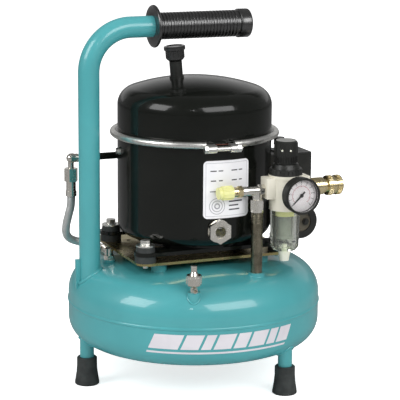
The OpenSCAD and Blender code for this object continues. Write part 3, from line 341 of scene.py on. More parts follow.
def lens_glass():
    """Thin flat lens: clear, with a weak shine that grows towards its edge."""
    material, tree = bare_material("lens_glass")
    through = node(tree, "ShaderNodeBsdfTransparent",
                   {"Color": blended(tree, grain(tree, 12), (0.97, 0.98, 0.97, 1), (1, 1, 1, 1))})
    shine = node(tree, "ShaderNodeBsdfGlossy", {"Roughness": between(tree, grain(tree, 9), 0.03, 0.07),
                                                "Normal": bumped(tree, grain(tree, 15), 0.004)})
    edge = node(tree, "ShaderNodeFresnel", {"IOR": 1.4}).outputs[0]
    mixed = node(tree, "ShaderNodeMixShader", {0: edge, 1: through.outputs[0], 2: shine.outputs[0]})
    node(tree, "ShaderNodeOutputMaterial", {"Surface": mixed.outputs[0]})
    return material


def sintered_filter():
    """Sintered polyethylene filter: pale grey grains pressed together."""
    return finish("sintered_filter", linear("#8d918c"), linear("#6c706c"), 1.0, 0.6, 0.8, 0.5, 0.1)


def dial_white():
    """Screen-printed white dial, matt."""
    return finish("dial_white", linear("#fbf6f8"), linear("#f2eaee"), 12, 0.45, 0.55, 0.8, 0.002)


def needle_black():
    """Matt black paint on a stamped needle."""
    return finish("needle_black", linear("#1c1c1d"), linear("#121213"), 4, 0.4, 0.5, 0.5, 0.004)


def steel_braid():
    """Braided stainless wire: bright on the crowns of the strands, with painted shade that darkens the
    crossings.
    """
    material = finish("steel_braid", linear("#e2e5e4"), linear("#cdd1cf"), 5, 0.28, 0.4, 0.25, 0.03,
                      Metallic=0.6)
    tree = material.node_tree
    # Painted shade: where the braid's height is low, in the crossings, the colour is darkened towards near
    # black.
    height = node(tree, "ShaderNodeAttribute", attribute_name="braid_height").outputs["Fac"]
    shade = node(tree, "ShaderNodeMapRange", {"Value": height, "To Min": 0.6, "To Max": 0.0}).outputs[0]
    return overlaid(material, shade, (0.03, 0.03, 0.03, 1))


def label_ink():
    """Screen ink: dark grey, dry, and a little uneven."""
    return finish("label_ink", linear("#47474c"), linear("#303035"), 1.5, 0.5, 0.6, 0.4, 0.002)


def pale_ink():
    """Thin grey screen ink, for fine lines."""
    return finish("pale_ink", linear("#a9a9b0"), linear("#96969e"), 1.5, 0.5, 0.6, 0.4, 0.002)


def scale_red():
    """Red screen ink for the gauge's second scale."""
    return finish("scale_red", linear("#c2707c"), linear("#ad5a68"), 1.5, 0.5, 0.6, 0.4, 0.002)


def silver_film():
    """Cut silver vinyl: satin and faintly metallic."""
    return finish("silver_film", linear("#e6e3e8"), linear("#d3d0d7"), 40, 0.3, 0.4, 0.6, 0.003,
                  Metallic=0.12)


def phenolic():
    """Phenolic end disc of the capacitor: brownish grey and dull."""
    return finish("phenolic", linear("#5d5748"), linear("#49453a"), 5, 0.45, 0.6, 0.5, 0.02)


def grey_print():
    """Grey printed cap on the regulator's knob."""
    return finish("grey_print", linear("#8f8f8c"), linear("#7b7b79"), 5, 0.4, 0.5, 0.5, 0.004)


def pale_floor():
    """Matt white studio paper, which glows to white away from the object and keeps its soft shadows."""
    material = finish("pale_floor", linear("#f7f7f7"), linear("#f4f4f4"), 400, 0.8, 0.9, 3, 0.01,
                      Specular_IOR_Level=0.0)
    tree = material.node_tree
    place = node(tree, "ShaderNodeTexCoord").outputs["Object"]
    away = node(tree, "ShaderNodeVectorMath", {0: place}, operation="LENGTH").outputs["Value"]
    far = node(tree, "ShaderNodeMapRange", {"Value": away, "From Min": 0.1, "From Max": 0.55,
                                            "To Min": FLOOR_GLOW, "To Max": 1.0}).outputs[0]
    ray = node(tree, "ShaderNodeLightPath").outputs
    glow = node(tree, "ShaderNodeMath", {0: far, 1: ray["Is Camera Ray"]}, operation="MULTIPLY").outputs[0]
    tree.links.new(glow, base_of(material).inputs["Emission Strength"])
    base_of(material).inputs["Emission Color"].default_value = (1, 1, 1, 1)
    return overlaid(material, ray["Is Glossy Ray"], FLOOR_MIRRORED)


SLOT_FINISHES = [
    teal_enamel, black_rubber, yellow_zinc, bright_zinc, black_enamel, joint_rubber, nickel, brass,
    label_film, sight_glass, electrical_steel, copper_winding, spring_steel, cast_iron,
    machined_steel, black_plastic, ivory_plastic, yellow_plastic, white_plastic, clear_bowl,
    sintered_filter, steel_braid, dial_white, needle_black,
]


def finished(make):
    """The material that a function makes, made once."""
    made = MADE.get(make.__name__)
    if made is None:
        made = make()
        MADE[make.__name__] = made
    return made


MADE = {}


# ---------- modelling helpers ----------

def nothing_selected():
    """Leaves edit mode and deselects everything."""
    if bpy.context.mode != "OBJECT":
        bpy.ops.object.mode_set(mode="OBJECT")
    bpy.ops.object.select_all(action="DESELECT")


def only(piece):
    """Selects one piece and makes it the active one."""
    nothing_selected()
    piece.select_set(True)
    bpy.context.view_layer.objects.active = piece


def settled(piece):
    """Puts a piece's place into its mesh, so that its object stands at the origin."""
    only(piece)
    bpy.ops.object.transform_apply(location=True, rotation=True, scale=True)
    return piece


def applied(piece, kind, **settings):
    """Adds a modifier with its settings and applies it."""
    only(piece)
    modifier = piece.modifiers.new(kind.lower(), kind)
    for name, value in settings.items():
        setattr(modifier, name, value)
    bpy.ops.object.modifier_apply(modifier=modifier.name)
    return piece


def smoothed(piece, degrees=35):
    """Shades a piece smooth, with an edge where it turns by more than the angle."""
    only(piece)
    bpy.ops.object.shade_smooth_by_angle(angle=math.radians(degrees))
    return piece


def joined(name, parts):
    """Joins the parts in one piece of that name."""
    only(parts[0])
    for part in parts:
        part.select_set(True)
    bpy.ops.object.join()
    parts[0].name = name
    return parts[0]


def dressed(piece, make, body="frame"):
    """Gives a piece its material and the body that it rides on."""
    piece.data.materials.clear()
    piece.data.materials.append(finished(make))
    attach(piece, body)
    return piece


def middle_axis(low, high):
    """The upright axis through the middle of a box."""
    return Vector(((low.x + high.x) / 2, (low.y + high.y) / 2, 0))


def placed(piece, matrix):
    """Moves a piece's mesh by a matrix."""
    piece.data.transform(matrix)
    piece.data.update()
    return piece


def turned(name, stations, sides=64, degrees=35):
    """A solid turned about Z: a disc carried through stations of (height, radius), in metres."""
    nothing_selected()
    height, radius = stations[0]
    bpy.ops.mesh.primitive_circle_add(vertices=sides, radius=radius, fill_type="NGON",
                                      location=(0, 0, height), enter_editmode=True)
    bpy.ops.mesh.select_all(action="SELECT")
    for next_height, next_radius in stations[1:]:
        bpy.ops.mesh.extrude_region_move(
            TRANSFORM_OT_translate={"value": (0, 0, next_height - height)})
        share = next_radius / radius
        bpy.ops.transform.resize(value=(share, share, 1), center_override=(0, 0, next_height))
        height, radius = next_height, next_radius
    bpy.ops.mesh.select_all(action="SELECT")
    bpy.ops.mesh.normals_make_consistent(inside=False)
    bpy.ops.object.mode_set(mode="OBJECT")
    piece = bpy.context.object
    piece.name = name
    return smoothed(settled(piece), degrees)


def smooth_path(points, steps, closed=False):
    """A smooth line through the points, with a number of steps between each pair."""
    points = [Vector(p) for p in points]
    count = len(points)
    path = []
    for i in range(count if closed else count - 1):
        if closed:
            a, b, c, d = (points[(i + k) % count] for k in (-1, 0, 1, 2))
        else:
            a, b, c, d = (points[min(max(i + k, 0), count - 1)] for k in (-1, 0, 1, 2))
        for k in range(steps):
            t = k / steps
            path.append(0.5 * (2 * b + (c - a) * t + (2 * a - 5 * b + 4 * c - d) * t * t
                               + (3 * b - a - 3 * c + d) * t ** 3))
    if not closed:
        path.append(points[-1])
    return path


def line_through(points, closed):
    """A curve of straight steps through the points."""
    nothing_selected()
    bpy.ops.curve.primitive_bezier_curve_add()
    line = bpy.context.object
    line.data.dimensions = "3D"
    line.data.splines.clear()
    spline = line.data.splines.new("POLY")
    spline.points.add(len(points) - 1)
    for knot, place in zip(spline.points, points):
        knot.co = (*place, 1)
    spline.use_cyclic_u = closed
    return line


def swept(name, path, radius, sides=12, closed=False, height=None, depth=0.0, height_name=None):
    """A round bar along a path. Where height(turn, distance) is below 1, its skin is sunk by the depth."""
    section = line_through(ring_of((0, 0, 0), radius, sides), closed=True)
    piece = line_through(path, closed)
    piece.name = name
    piece.location = (0, 0, 0)
    piece.data.bevel_mode = "OBJECT"
    piece.data.bevel_object = section
    only(piece)
    bpy.ops.object.convert(target="MESH")
    piece = bpy.context.object
    bpy.data.objects.remove(section)
    outward(piece)
    if height:
        worked(piece, path, sides, height, radius * depth, height_name)
    outward(piece, capped=not closed)
    return smoothed(piece, 60)


def outward(piece, capped=False):
    """Turns a piece's faces outwards, and closes its open ends first if they are to be capped."""
    only(piece)
    bpy.ops.object.mode_set(mode="EDIT")
    bpy.ops.mesh.select_all(action="SELECT")
    if capped:
        bpy.ops.mesh.fill_holes(sides=0)
        bpy.ops.mesh.select_all(action="SELECT")
    bpy.ops.mesh.normals_make_consistent(inside=False)
    bpy.ops.object.mode_set(mode="OBJECT")


def worked(piece, path, sides, height, depth, height_name=None):
    """Sinks a swept skin, ring by ring, where its height is below one, and may keep the height by name."""
    distances = [0.0]
    for before, after in zip(path, path[1:]):
        distances.append(distances[-1] + (after - before).length)
    heights = [height(k / sides, distance) for distance in distances for k in range(sides)]
    sunk = piece.vertex_groups.new(name="sunk")
    for index, high in enumerate(heights):
        sunk.add([index], 1 - high, "REPLACE")
    applied(piece, "DISPLACE", direction="NORMAL", mid_level=0.0, strength=-depth, vertex_group=sunk.name)
    piece.vertex_groups.clear()
    if height_name:
        piece.data.attributes.new(height_name, "FLOAT", "POINT").data.foreach_set("value", heights)


# How deep the braid's crossings and a weld's ripples are, as a share of the outer radius
BRAID_DEPTH = 0.1
RIPPLE_DEPTH = 0.18
# How far a ripple's crest stands out of the bead's mean radius, and the length of one ripple
RIPPLE_CREST = 1.1
RIPPLE_PITCH = 2.6 * MM
# Steps in one turn of a thread
THREAD_STEPS = 24
# Sides of the hose: six to each of its twelve bundles
HOSE_SIDES = 72


def ring_of(centre, radius, count, sweep=math.tau):
    """Points on a level circle, or on an arc of it."""
    return [Vector(centre) + radius * Vector((math.cos(sweep * i / count), math.sin(sweep * i / count), 0))
            for i in range(count)]


def flat_mark(x, z, width, height, columns=8):
    """A flat rectangle of ink that faces the front."""
    nothing_selected()
    bpy.ops.mesh.primitive_grid_add(x_subdivisions=columns, y_subdivisions=2, size=1,
                                    rotation=(math.pi / 2, 0, 0), location=(x, 0, z))
    mark = bpy.context.object
    mark.scale = (width, height, 1)
    return settled(mark)


def flat_ring(x, z, inner, outer, sides=48):
    """A flat ring of ink that faces the front."""
    nothing_selected()
    bpy.ops.mesh.primitive_circle_add(vertices=sides, radius=outer, fill_type="NGON",
                                      rotation=(math.pi / 2, 0, 0), location=(x, 0, z), enter_editmode=True)
    bpy.ops.mesh.select_all(action="SELECT")
    bpy.ops.mesh.inset(thickness=outer - inner, depth=0)
    bpy.ops.mesh.delete(type="FACE")
    bpy.ops.object.mode_set(mode="OBJECT")
    return settled(bpy.context.object)


def wrapped_round(piece, radius, angle, height):
    """Bends flat artwork that faces the front onto a cylinder about Z, turned to an angle from +X."""
    only(piece)
    applied(piece, "SIMPLE_DEFORM", deform_method="BEND", deform_axis="Z",
            angle=piece.dimensions.x / radius)
    turn = Matrix.Rotation(angle + math.pi / 2, 4, "Z")
    return placed(piece, turn @ Matrix.Translation((0, -radius, height)))


def thickened(piece, thickness):
    """Gives flat artwork a skin's thickness, outwards."""
    return applied(piece, "SOLIDIFY", thickness=thickness, offset=0.0)


# ---------- settings ----------

def length_setting(name, description, default):
    """A length in metres, for a property group."""
    return FloatProperty(name=name, description=description, subtype="DISTANCE", unit="LENGTH",
                         default=default)


class TankSettings(bpy.types.PropertyGroup):
    enamel: FloatVectorProperty(name="Enamel", description="Colour of the tank and the handle",
                                subtype="COLOR", size=3, min=0, max=1, default=linear("#499ea3"))
    weld_width: length_setting("Weld width", "Width of the weld round the handle", 4.6 * MM)
    stripe_height: length_setting("Bar height", "Height of the silver bars", 17 * MM)


class GripSettings(bpy.types.PropertyGroup):
    rib_pitch: length_setting("Rib pitch", "Distance from one rib of the grip to the next", 4 * MM)
    rib_depth: length_setting("Rib depth", "How deep the grooves of the grip are", 1.1 * MM)


class HoseSettings(bpy.types.PropertyGroup):
    diameter: length_setting("Diameter", "Outside diameter of the braided hose", 9.5 * MM)
    bundles: IntProperty(name="Bundles", description="Wire bundles that wind each way", default=12,
                         min=6, max=24)
    lay: length_setting("Lay", "Length along the hose in which a bundle turns once", 30 * MM)


class GaugeSettings(bpy.types.PropertyGroup):
    divisions: IntProperty(name="Divisions", description="Numbered divisions of the pressure scale",
                           default=10, min=4, max=16)
    sweep: FloatProperty(name="Sweep", description="Angle from the first mark to the last",
                         subtype="ANGLE", default=math.radians(270))


class StageSettings(bpy.types.PropertyGroup):
    camera_distance: length_setting("Camera distance", "Level distance from the axis", 2.0)
    camera_height: length_setting("Camera height", "Height of the camera above the floor", 0.6325)
    camera_angle: FloatProperty(name="Camera angle", description="How far the camera stands to the left",
                                subtype="ANGLE", default=math.radians(22.34))
    key_power: FloatProperty(name="Key power", description="Power of the overhead softbox",
                             subtype="POWER", unit="POWER", default=20.0)


# ---------- operators ----------

class COMPRESSOR_OT_stage(bpy.types.Operator):
    """Adds the floor, the soft studio lights and the camera"""

    bl_idname = "compressor.stage"
    bl_label = "Stage"

    def execute(self, context):
        settings = context.scene.compressor_stage
        context.scene.view_settings.view_transform = "Standard"
        self.floor()
        self.surroundings(context.scene)
        self.backdrop(settings.key_power)
        for name, place, size, share in STUDIO_LIGHTS:
            self.softbox(name, place, size, settings.key_power * share)
        bpy.data.objects["softbox_top"].visible_glossy = False
        self.camera(context.scene, settings)
        return {"FINISHED"}

    def floor(self):
        """A round sheet of paper that the object stands on."""
        nothing_selected()
        bpy.ops.mesh.primitive_circle_add(vertices=96, radius=9, fill_type="NGON")
        floor = bpy.context.object
        floor.name = "studio_floor"
        floor.data.materials.append(finished(pale_floor))

    def surroundings(self, scene):
        """A dark room for reflections, a pale one for soft light, and plain white behind the object."""
        world = bpy.data.worlds.new("studio_room")
        world.use_nodes = True
        tree = world.node_tree
        tree.nodes.clear()
        ray = node(tree, "ShaderNodeLightPath").outputs
        soft = node(tree, "ShaderNodeMapRange",
                    {"Value": ray["Is Diffuse Ray"], "To Min": ROOM_GLOSS, "To Max": ROOM_SOFT}).outputs[0]
        strength = node(tree, "ShaderNodeMix", {0: ray["Is Camera Ray"], 2: soft, 3: 1.0}).outputs[0]
        room = node(tree, "ShaderNodeBackground", {"Color": (1, 1, 1, 1), "Strength": strength})
        node(tree, "ShaderNodeOutputWorld", {"Surface": room.outputs[0]})
        scene.world = world

    def backdrop(self, power):
        """A cloth behind the object that glows in its reflections, fades upwards, and isn't seen itself."""
        material, tree = bare_material("glowing_cloth")
        place = node(tree, "ShaderNodeTexCoord").outputs["Object"]
        height = node(tree, "ShaderNodeSeparateXYZ", {"Vector": place}).outputs["Y"]
        share = node(tree, "ShaderNodeMapRange", {"Value": height, "From Min": 0.5, "From Max": -0.5},
                     interpolation_type="SMOOTHSTEP").outputs[0]
        weave = between(tree, grain(tree, 90), 0.92, 1.0)
        glow = node(tree, "ShaderNodeMath", {0: share, 1: weave}, operation="MULTIPLY").outputs[0]
        strength = node(tree, "ShaderNodeMath", {0: glow, 1: power / CLOTH_FULL_POWER},
                        operation="MULTIPLY").outputs[0]
        shine = node(tree, "ShaderNodeEmission", {"Color": (1, 1, 1, 1), "Strength": strength})
        node(tree, "ShaderNodeOutputMaterial", {"Surface": shine.outputs[0]})
        nothing_selected()
        bpy.ops.mesh.primitive_grid_add(x_subdivisions=8, y_subdivisions=8, size=1,
                                        location=CLOTH_PLACE, rotation=(math.pi / 2, 0, CLOTH_TURN))
        cloth = bpy.context.object
        cloth.name = "backdrop_cloth"
        cloth.scale = CLOTH_SIZE
        cloth.data.materials.append(material)
        cloth.visible_camera = False

    def softbox(self, name, place, size, power):
        """A soft light of that size, turned towards the object."""
        nothing_selected()
        bpy.ops.object.light_add(type="AREA", location=place)
        lamp = bpy.context.object
        lamp.name = name
        lamp.data.shape = "RECTANGLE"
        lamp.data.size, lamp.data.size_y = size
        lamp.data.energy = power
        lamp.rotation_euler = (LIGHTS_AIM - Vector(place)).to_track_quat("-Z", "Y").to_euler()

    def camera(self, scene, settings):
        """The camera at the settings' distance, height and angle."""
        nothing_selected()
        place = Vector((-settings.camera_distance * math.sin(settings.camera_angle),
                        -settings.camera_distance * math.cos(settings.camera_angle),
                        settings.camera_height))
        bpy.ops.object.camera_add(location=place)
        camera = bpy.context.object
        camera.name = "studio_camera"
        camera.data.lens = CAMERA_LENS
        camera.data.sensor_width = CAMERA_SENSOR
        turn = (CAMERA_AIM - place).to_track_quat("-Z", "Y").to_matrix().to_4x4()
        camera.rotation_euler = (turn @ Matrix.Rotation(CAMERA_ROLL, 4, "Z")).to_euler()
        scene.camera = camera


class COMPRESSOR_OT_hose(bpy.types.Operator):
    """Weaves the braided hose between the discharge elbow and the tank"""

    bl_idname = "compressor.hose"
    bl_label = "Braided hose"

    def execute(self, context):
        settings = context.scene.compressor_hose
        path = smooth_path(HOSE_ROUTE, ROUTE_STEPS)

        def woven(turn, distance):
            """Height of the weave: bundles that wind both ways and pass over each other in turn."""
            left = settings.bundles * (turn + distance / settings.lay)
            right = settings.bundles * (turn - distance / settings.lay)
            upper, lower = (left, right) if (math.floor(left) + math.floor(right)) % 2 else (right, left)
            across = 2 * (upper % 1) - 1
            along = 2 * (lower % 1) - 1
            return max(0.0, 1 - across ** 4) * (0.55 + 0.45 * math.cos(along * math.pi / 2))

        # The weave's height is kept on the mesh; the braid's finish paints shade into its low crossings from
        # it.
        hose = swept("braided_hose", path, settings.diameter / 2, HOSE_SIDES, height=woven,
                     depth=BRAID_DEPTH, height_name="braid_height")
        dressed(hose, steel_braid)
        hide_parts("hose")
        return {"FINISHED"}


class COMPRESSOR_OT_finishes(bpy.types.Operator):
    """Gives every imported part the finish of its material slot"""

    bl_idname = "compressor.finishes"
    bl_label = "Finishes"

    def execute(self, context):
        by_slot = {make.__name__: make for make in SLOT_FINISHES}
        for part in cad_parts.values():
            for index, material in enumerate(part.data.materials):
                part.data.materials[index] = finished(by_slot[material.name.split(".")[0]])
        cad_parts["riser_pipe"].data.materials[0] = finished(aged_nickel)
        return {"FINISHED"}


class COMPRESSOR_OT_grip(bpy.types.Operator):
    """Models the ribbed grip with its hand guard and end collar"""

    bl_idname = "compressor.grip"
    bl_label = "Grip"

    def execute(self, context):
        settings = context.scene.compressor_grip
        low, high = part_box("handle_grip")
        tube_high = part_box("handle_tube")[1]
        middle = (low.z + high.z) / 2
        tube_r = tube_high.z - middle
        length = high.x - low.x
        guard_r = (high.z - low.z) / 2
        out_r = tube_r + 3.2 * MM
        groove_r = out_r - settings.rib_depth
        guard_t, collar = 4 * MM, 14 * MM
        stations = [(tube_high.x - low.x, tube_r), (0, tube_r), (0, guard_r - 1.6 * MM)]
        stations += self.rounded_rim(guard_t / 2, guard_r, guard_t / 2)
        stations += [(guard_t, out_r + 0.5 * MM), (guard_t + 0.6 * MM, groove_r)]
        at = guard_t + 1.4 * MM
        while at + settings.rib_pitch < length - collar:
            stations += self.rib(at, settings.rib_pitch * 0.66, groove_r, out_r)
            at += settings.rib_pitch
        collar_r = out_r + 1.2 * MM
        stations += [(length - collar, groove_r), (length - collar + 0.2 * MM, collar_r - 0.4 * MM),
                     (length - collar + 0.7 * MM, collar_r), (length - 2.2 * MM, collar_r)]
        stations += [(length - 2.2 * MM + 2.2 * MM * math.sin(a), collar_r - 2.2 * MM * (1 - math.cos(a)))
                     for a in (0.4, 0.8, 1.2, 1.57)]
        stations += [(length, collar_r - 6 * MM), (length - 0.5 * MM, collar_r - 7 * MM),
                     (length - 0.5 * MM, 2 * MM)]
        grip = turned("grip_sleeve", stations, sides=96, degrees=50)
        placed(grip, Matrix.Translation((low.x, 0, middle)) @ Matrix.Rotation(math.pi / 2, 4, "Y"))
        dressed(grip, grip_vinyl)
        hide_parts("handle_grip")
        return {"FINISHED"}

    def rounded_rim(self, at, radius, half):
        """Stations round the rim of the hand guard."""
        return [(at - half * math.cos(a), radius - half + half * math.sin(a))
                for a in (0.5, 0.9, 1.3, 1.57, 1.85, 2.25, 2.65)]

    def rib(self, at, width, low, high):
        """Stations over one flat rib with softened edges."""
        shoulder = (high - low) * 0.18
        return [(at, low), (at + width * 0.05, high - shoulder), (at + width * 0.16, high),
                (at + width * 0.84, high), (at + width * 0.95, high - shoulder), (at + width, low)]


class COMPRESSOR_OT_tank_details(bpy.types.Operator):
    """Adds the welds round the tubes and ports, and the silver bars"""

    bl_idname = "compressor.tank_details"
    bl_label = "Tank details"

    def execute(self, context):
        settings = context.scene.compressor_tank
        self.welds(settings)
        self.stripes(settings)
        return {"FINISHED"}

    def on_tank(self, x, y, above=True):
        """The point of the tank's skin above or below a place."""
        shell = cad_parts["tank_upper_shell" if above else "tank_lower_shell"]
        start, way = (0.3, -1) if above else (-0.1, 1)
        hit, place, _, _ = shell.ray_cast(Vector((x, y, start)), Vector((0, 0, way)))
        if not hit:
            raise RuntimeError(f"no tank skin at {x:.3f}, {y:.3f}")
        return place

    def weld(self, name, x, y, radius, width, above=True):
        """A weld bead where an upright tube meets the tank."""
        count = max(48, int(math.tau * radius / (0.9 * MM)))
        path = [self.on_tank(p.x, p.y, above) for p in ring_of((x, y, 0), radius, count)]

        def rippled(turn, distance):
            return 0.5 + 0.5 * math.sin(math.tau * distance / RIPPLE_PITCH)

        bead = swept(name, path, RIPPLE_CREST * width / 2, 12, closed=True, height=rippled,
                     depth=RIPPLE_DEPTH)
        return dressed(bead, teal_enamel)

    def welds(self, settings):
        low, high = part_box("handle_tube")
        tube_r = (high.y - low.y) / 2
        self.weld("handle_weld", low.x + tube_r, 0, tube_r + 0.4 * MM, settings.weld_width)
        leg_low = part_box("tank_legs")[0]
        leg_r = 8 * MM
        reach = -leg_low.x - leg_r
        for number, angle in enumerate((180, 300, 60), 1):
            x, y = reach * math.cos(math.radians(angle)), reach * math.sin(math.radians(angle))
            self.weld(f"leg_weld_{number}", x, y, leg_r + 0.2 * MM, 3.2 * MM, above=False)
        for name, part in (("riser_weld", "riser_pipe"), ("drain_weld", "drain_valve_knob")):
            low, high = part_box(part)
            boss_r = 9 * MM if name == "riser_weld" else 7 * MM
            axis = middle_axis(low, high)
            self.weld(name, axis.x, axis.y, boss_r, 2.4 * MM)

    def stripes(self, settings):
        """A row of plain slanted silver bars over a thin stripe, laid on the tank's side."""
        skins = [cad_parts[name].copy() for name in ("tank_upper_shell", "tank_lower_shell")]
        for skin in skins:
            skin.data = skin.data.copy()
            skin.parent = None
            for key in list(skin.keys()):
                del skin[key]
            bpy.context.scene.collection.objects.link(skin)
        skin = joined("tank_skin", skins)
        bars = []
        at = -BARS_WIDTH / 2
        for width in BAR_WIDTHS:
            bars.append(flat_mark(at + width / 2, 0, width, settings.stripe_height, columns=16))
            at += width + BAR_GAP
        bars.append(flat_mark(0, -settings.stripe_height * 0.78, BARS_WIDTH, 2.4 * MM, columns=90))
        stripe = joined("silver_bars", bars)
        placed(stripe, Matrix(((1, 0, BARS_SLANT, 0), (0, 1, 0, 0), (0, 0, 1, 0), (0, 0, 0, 1))))
        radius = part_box("tank_lower_shell")[1].x
        wrapped_round(stripe, radius + 3 * MM, BARS_ANGLE, BARS_HEIGHT)
        applied(stripe, "SHRINKWRAP", target=skin, wrap_method="NEAREST_SURFACEPOINT",
                wrap_mode="ABOVE_SURFACE", offset=0.15 * MM)
        thickened(stripe, 0.1 * MM)
        dressed(smoothed(stripe, 60), silver_film)
        bpy.data.objects.remove(skin)


class COMPRESSOR_OT_label_print(bpy.types.Operator):
    """Prints generic bars, a border and a plain seal on the rating label"""

    bl_idname = "compressor.label_print"
    bl_label = "Label print"

    def execute(self, context):
        low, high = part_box("rating_label")
        radius = -low.y + 0.03 * MM
        height = (low.z + high.z) / 2
        middle = (low.x + high.x) / 2
        marks = self.word_bars()
        lines = self.border(50 * MM, 59.6 * MM, 0.35 * MM)
        for inner, outer in ((8.5, 9.2), (5.6, 6.4), (2.0, 3.4)):
            lines.append(flat_ring(-12 * MM, -18.6 * MM, inner * MM, outer * MM))
        angle = math.asin(middle / radius) - math.pi / 2
        for name, parts, make in (("label_print", marks, label_ink), ("label_lines", lines, pale_ink)):
            ink = joined(name, parts)
            wrapped_round(ink, radius, angle, height)
            thickened(ink, 0.04 * MM)
            dressed(ink, make)
        return {"FINISHED"}

    def word_bars(self):
        """Two rows of short bars, a thin one below them, and a block of three beside the seal."""
        bars = []
        for row, top in enumerate((21, 10)):
            for x, width in ((-16.5, 7), (-8, 5.5), (8.5, 7.5), (16.5, 5)):
                bars.append(flat_mark(x * MM, top * MM, (width - row) * MM, 1.3 * MM))
        bars.append(flat_mark(-16.5 * MM, -2 * MM, 8 * MM, 0.9 * MM))
        for z, width in ((-14, 17), (-18.6, 12), (-23.2, 13.5)):
            bars.append(flat_mark((2 + width / 2) * MM, z * MM, width * MM, 1.5 * MM))
        return bars

    def border(self, width, height, line):
        """Four thin lines round the print."""
        sides = [flat_mark(x, 0, line, height, columns=2) for x in (-width / 2, width / 2)]
        ends = [flat_mark(0, z, width + line, line, columns=40) for z in (-height / 2, height / 2)]
        return sides + ends


class COMPRESSOR_OT_gauge(bpy.types.Operator):
    """Prints the gauge's scale and fits its lens"""

    bl_idname = "compressor.gauge"
    bl_label = "Gauge"

    def execute(self, context):
        settings = context.scene.compressor_gauge
        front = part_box("gauge_case")[0].y
        dial_low, dial_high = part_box("gauge_dial")
        centre = Vector(((dial_low.x + dial_high.x) / 2, 0, (dial_low.z + dial_high.z) / 2))
        dial_r = (dial_high.x - dial_low.x) / 2
        face = dial_high.y - 1.06 * MM
        start = math.radians(225)
        black, red = [], []
        steps = settings.divisions * 5
        for i in range(steps + 1):
            angle = start - settings.sweep * i / steps
            long_tick = i % 5 == 0
            length = (2.6 if long_tick else 1.4) * MM
            black.append(self.tick(angle, dial_r - 1.6 * MM, length, (0.6 if long_tick else 0.3) * MM))
            red.append(self.tick(angle, dial_r - 6.9 * MM, (1.6 if long_tick else 0.9) * MM, 0.5 * MM))
        for i in range(settings.divisions + 1):
            angle = start - settings.sweep * i / settings.divisions
            black.append(self.numeral(str(i), angle, dial_r - 5.4 * MM, 2.2 * MM))
        place = Matrix.Translation((centre.x, face, centre.z))
        for name, marks, make in (("gauge_scale", black, needle_black),
                                  ("gauge_inner_scale", red, scale_red)):
            scale = placed(joined(name, marks), place)
            thickened(scale, 0.06 * MM)
            dressed(scale, make)
        lens_r = dial_r - 0.1 * MM
        lens = turned("gauge_lens", [(0, lens_r), (0.9 * MM, lens_r), (1.2 * MM, lens_r * 0.85),
                                     (1.4 * MM, lens_r * 0.5), (1.45 * MM, lens_r * 0.1)])
        placed(lens, Matrix.Translation((centre.x, front + 2.2 * MM, centre.z))
               @ Matrix.Rotation(math.pi / 2, 4, "X"))
        dressed(lens, lens_glass)
        return {"FINISHED"}

    def tick(self, angle, outer, length, width):
        """One mark of the scale, on the line from the dial's centre."""
        mark = flat_mark(outer - length / 2, 0, length, width, columns=2)
        return placed(mark, Matrix.Rotation(-angle, 4, "Y"))

    def numeral(self, text, angle, radius, size):
        """One number of the scale, upright, as a mesh."""
        nothing_selected()
        bpy.ops.object.text_add(rotation=(math.pi / 2, 0, 0))
        number = bpy.context.object
        number.data.body = text
        number.data.size = size
        number.data.align_x = "CENTER"
        number.data.align_y = "CENTER"
        number.data.resolution_u = 3
        only(number)
        bpy.ops.object.convert(target="MESH")
        settled(number)
        return placed(number, Matrix.Translation((radius * math.cos(angle), 0, radius * math.sin(angle))))


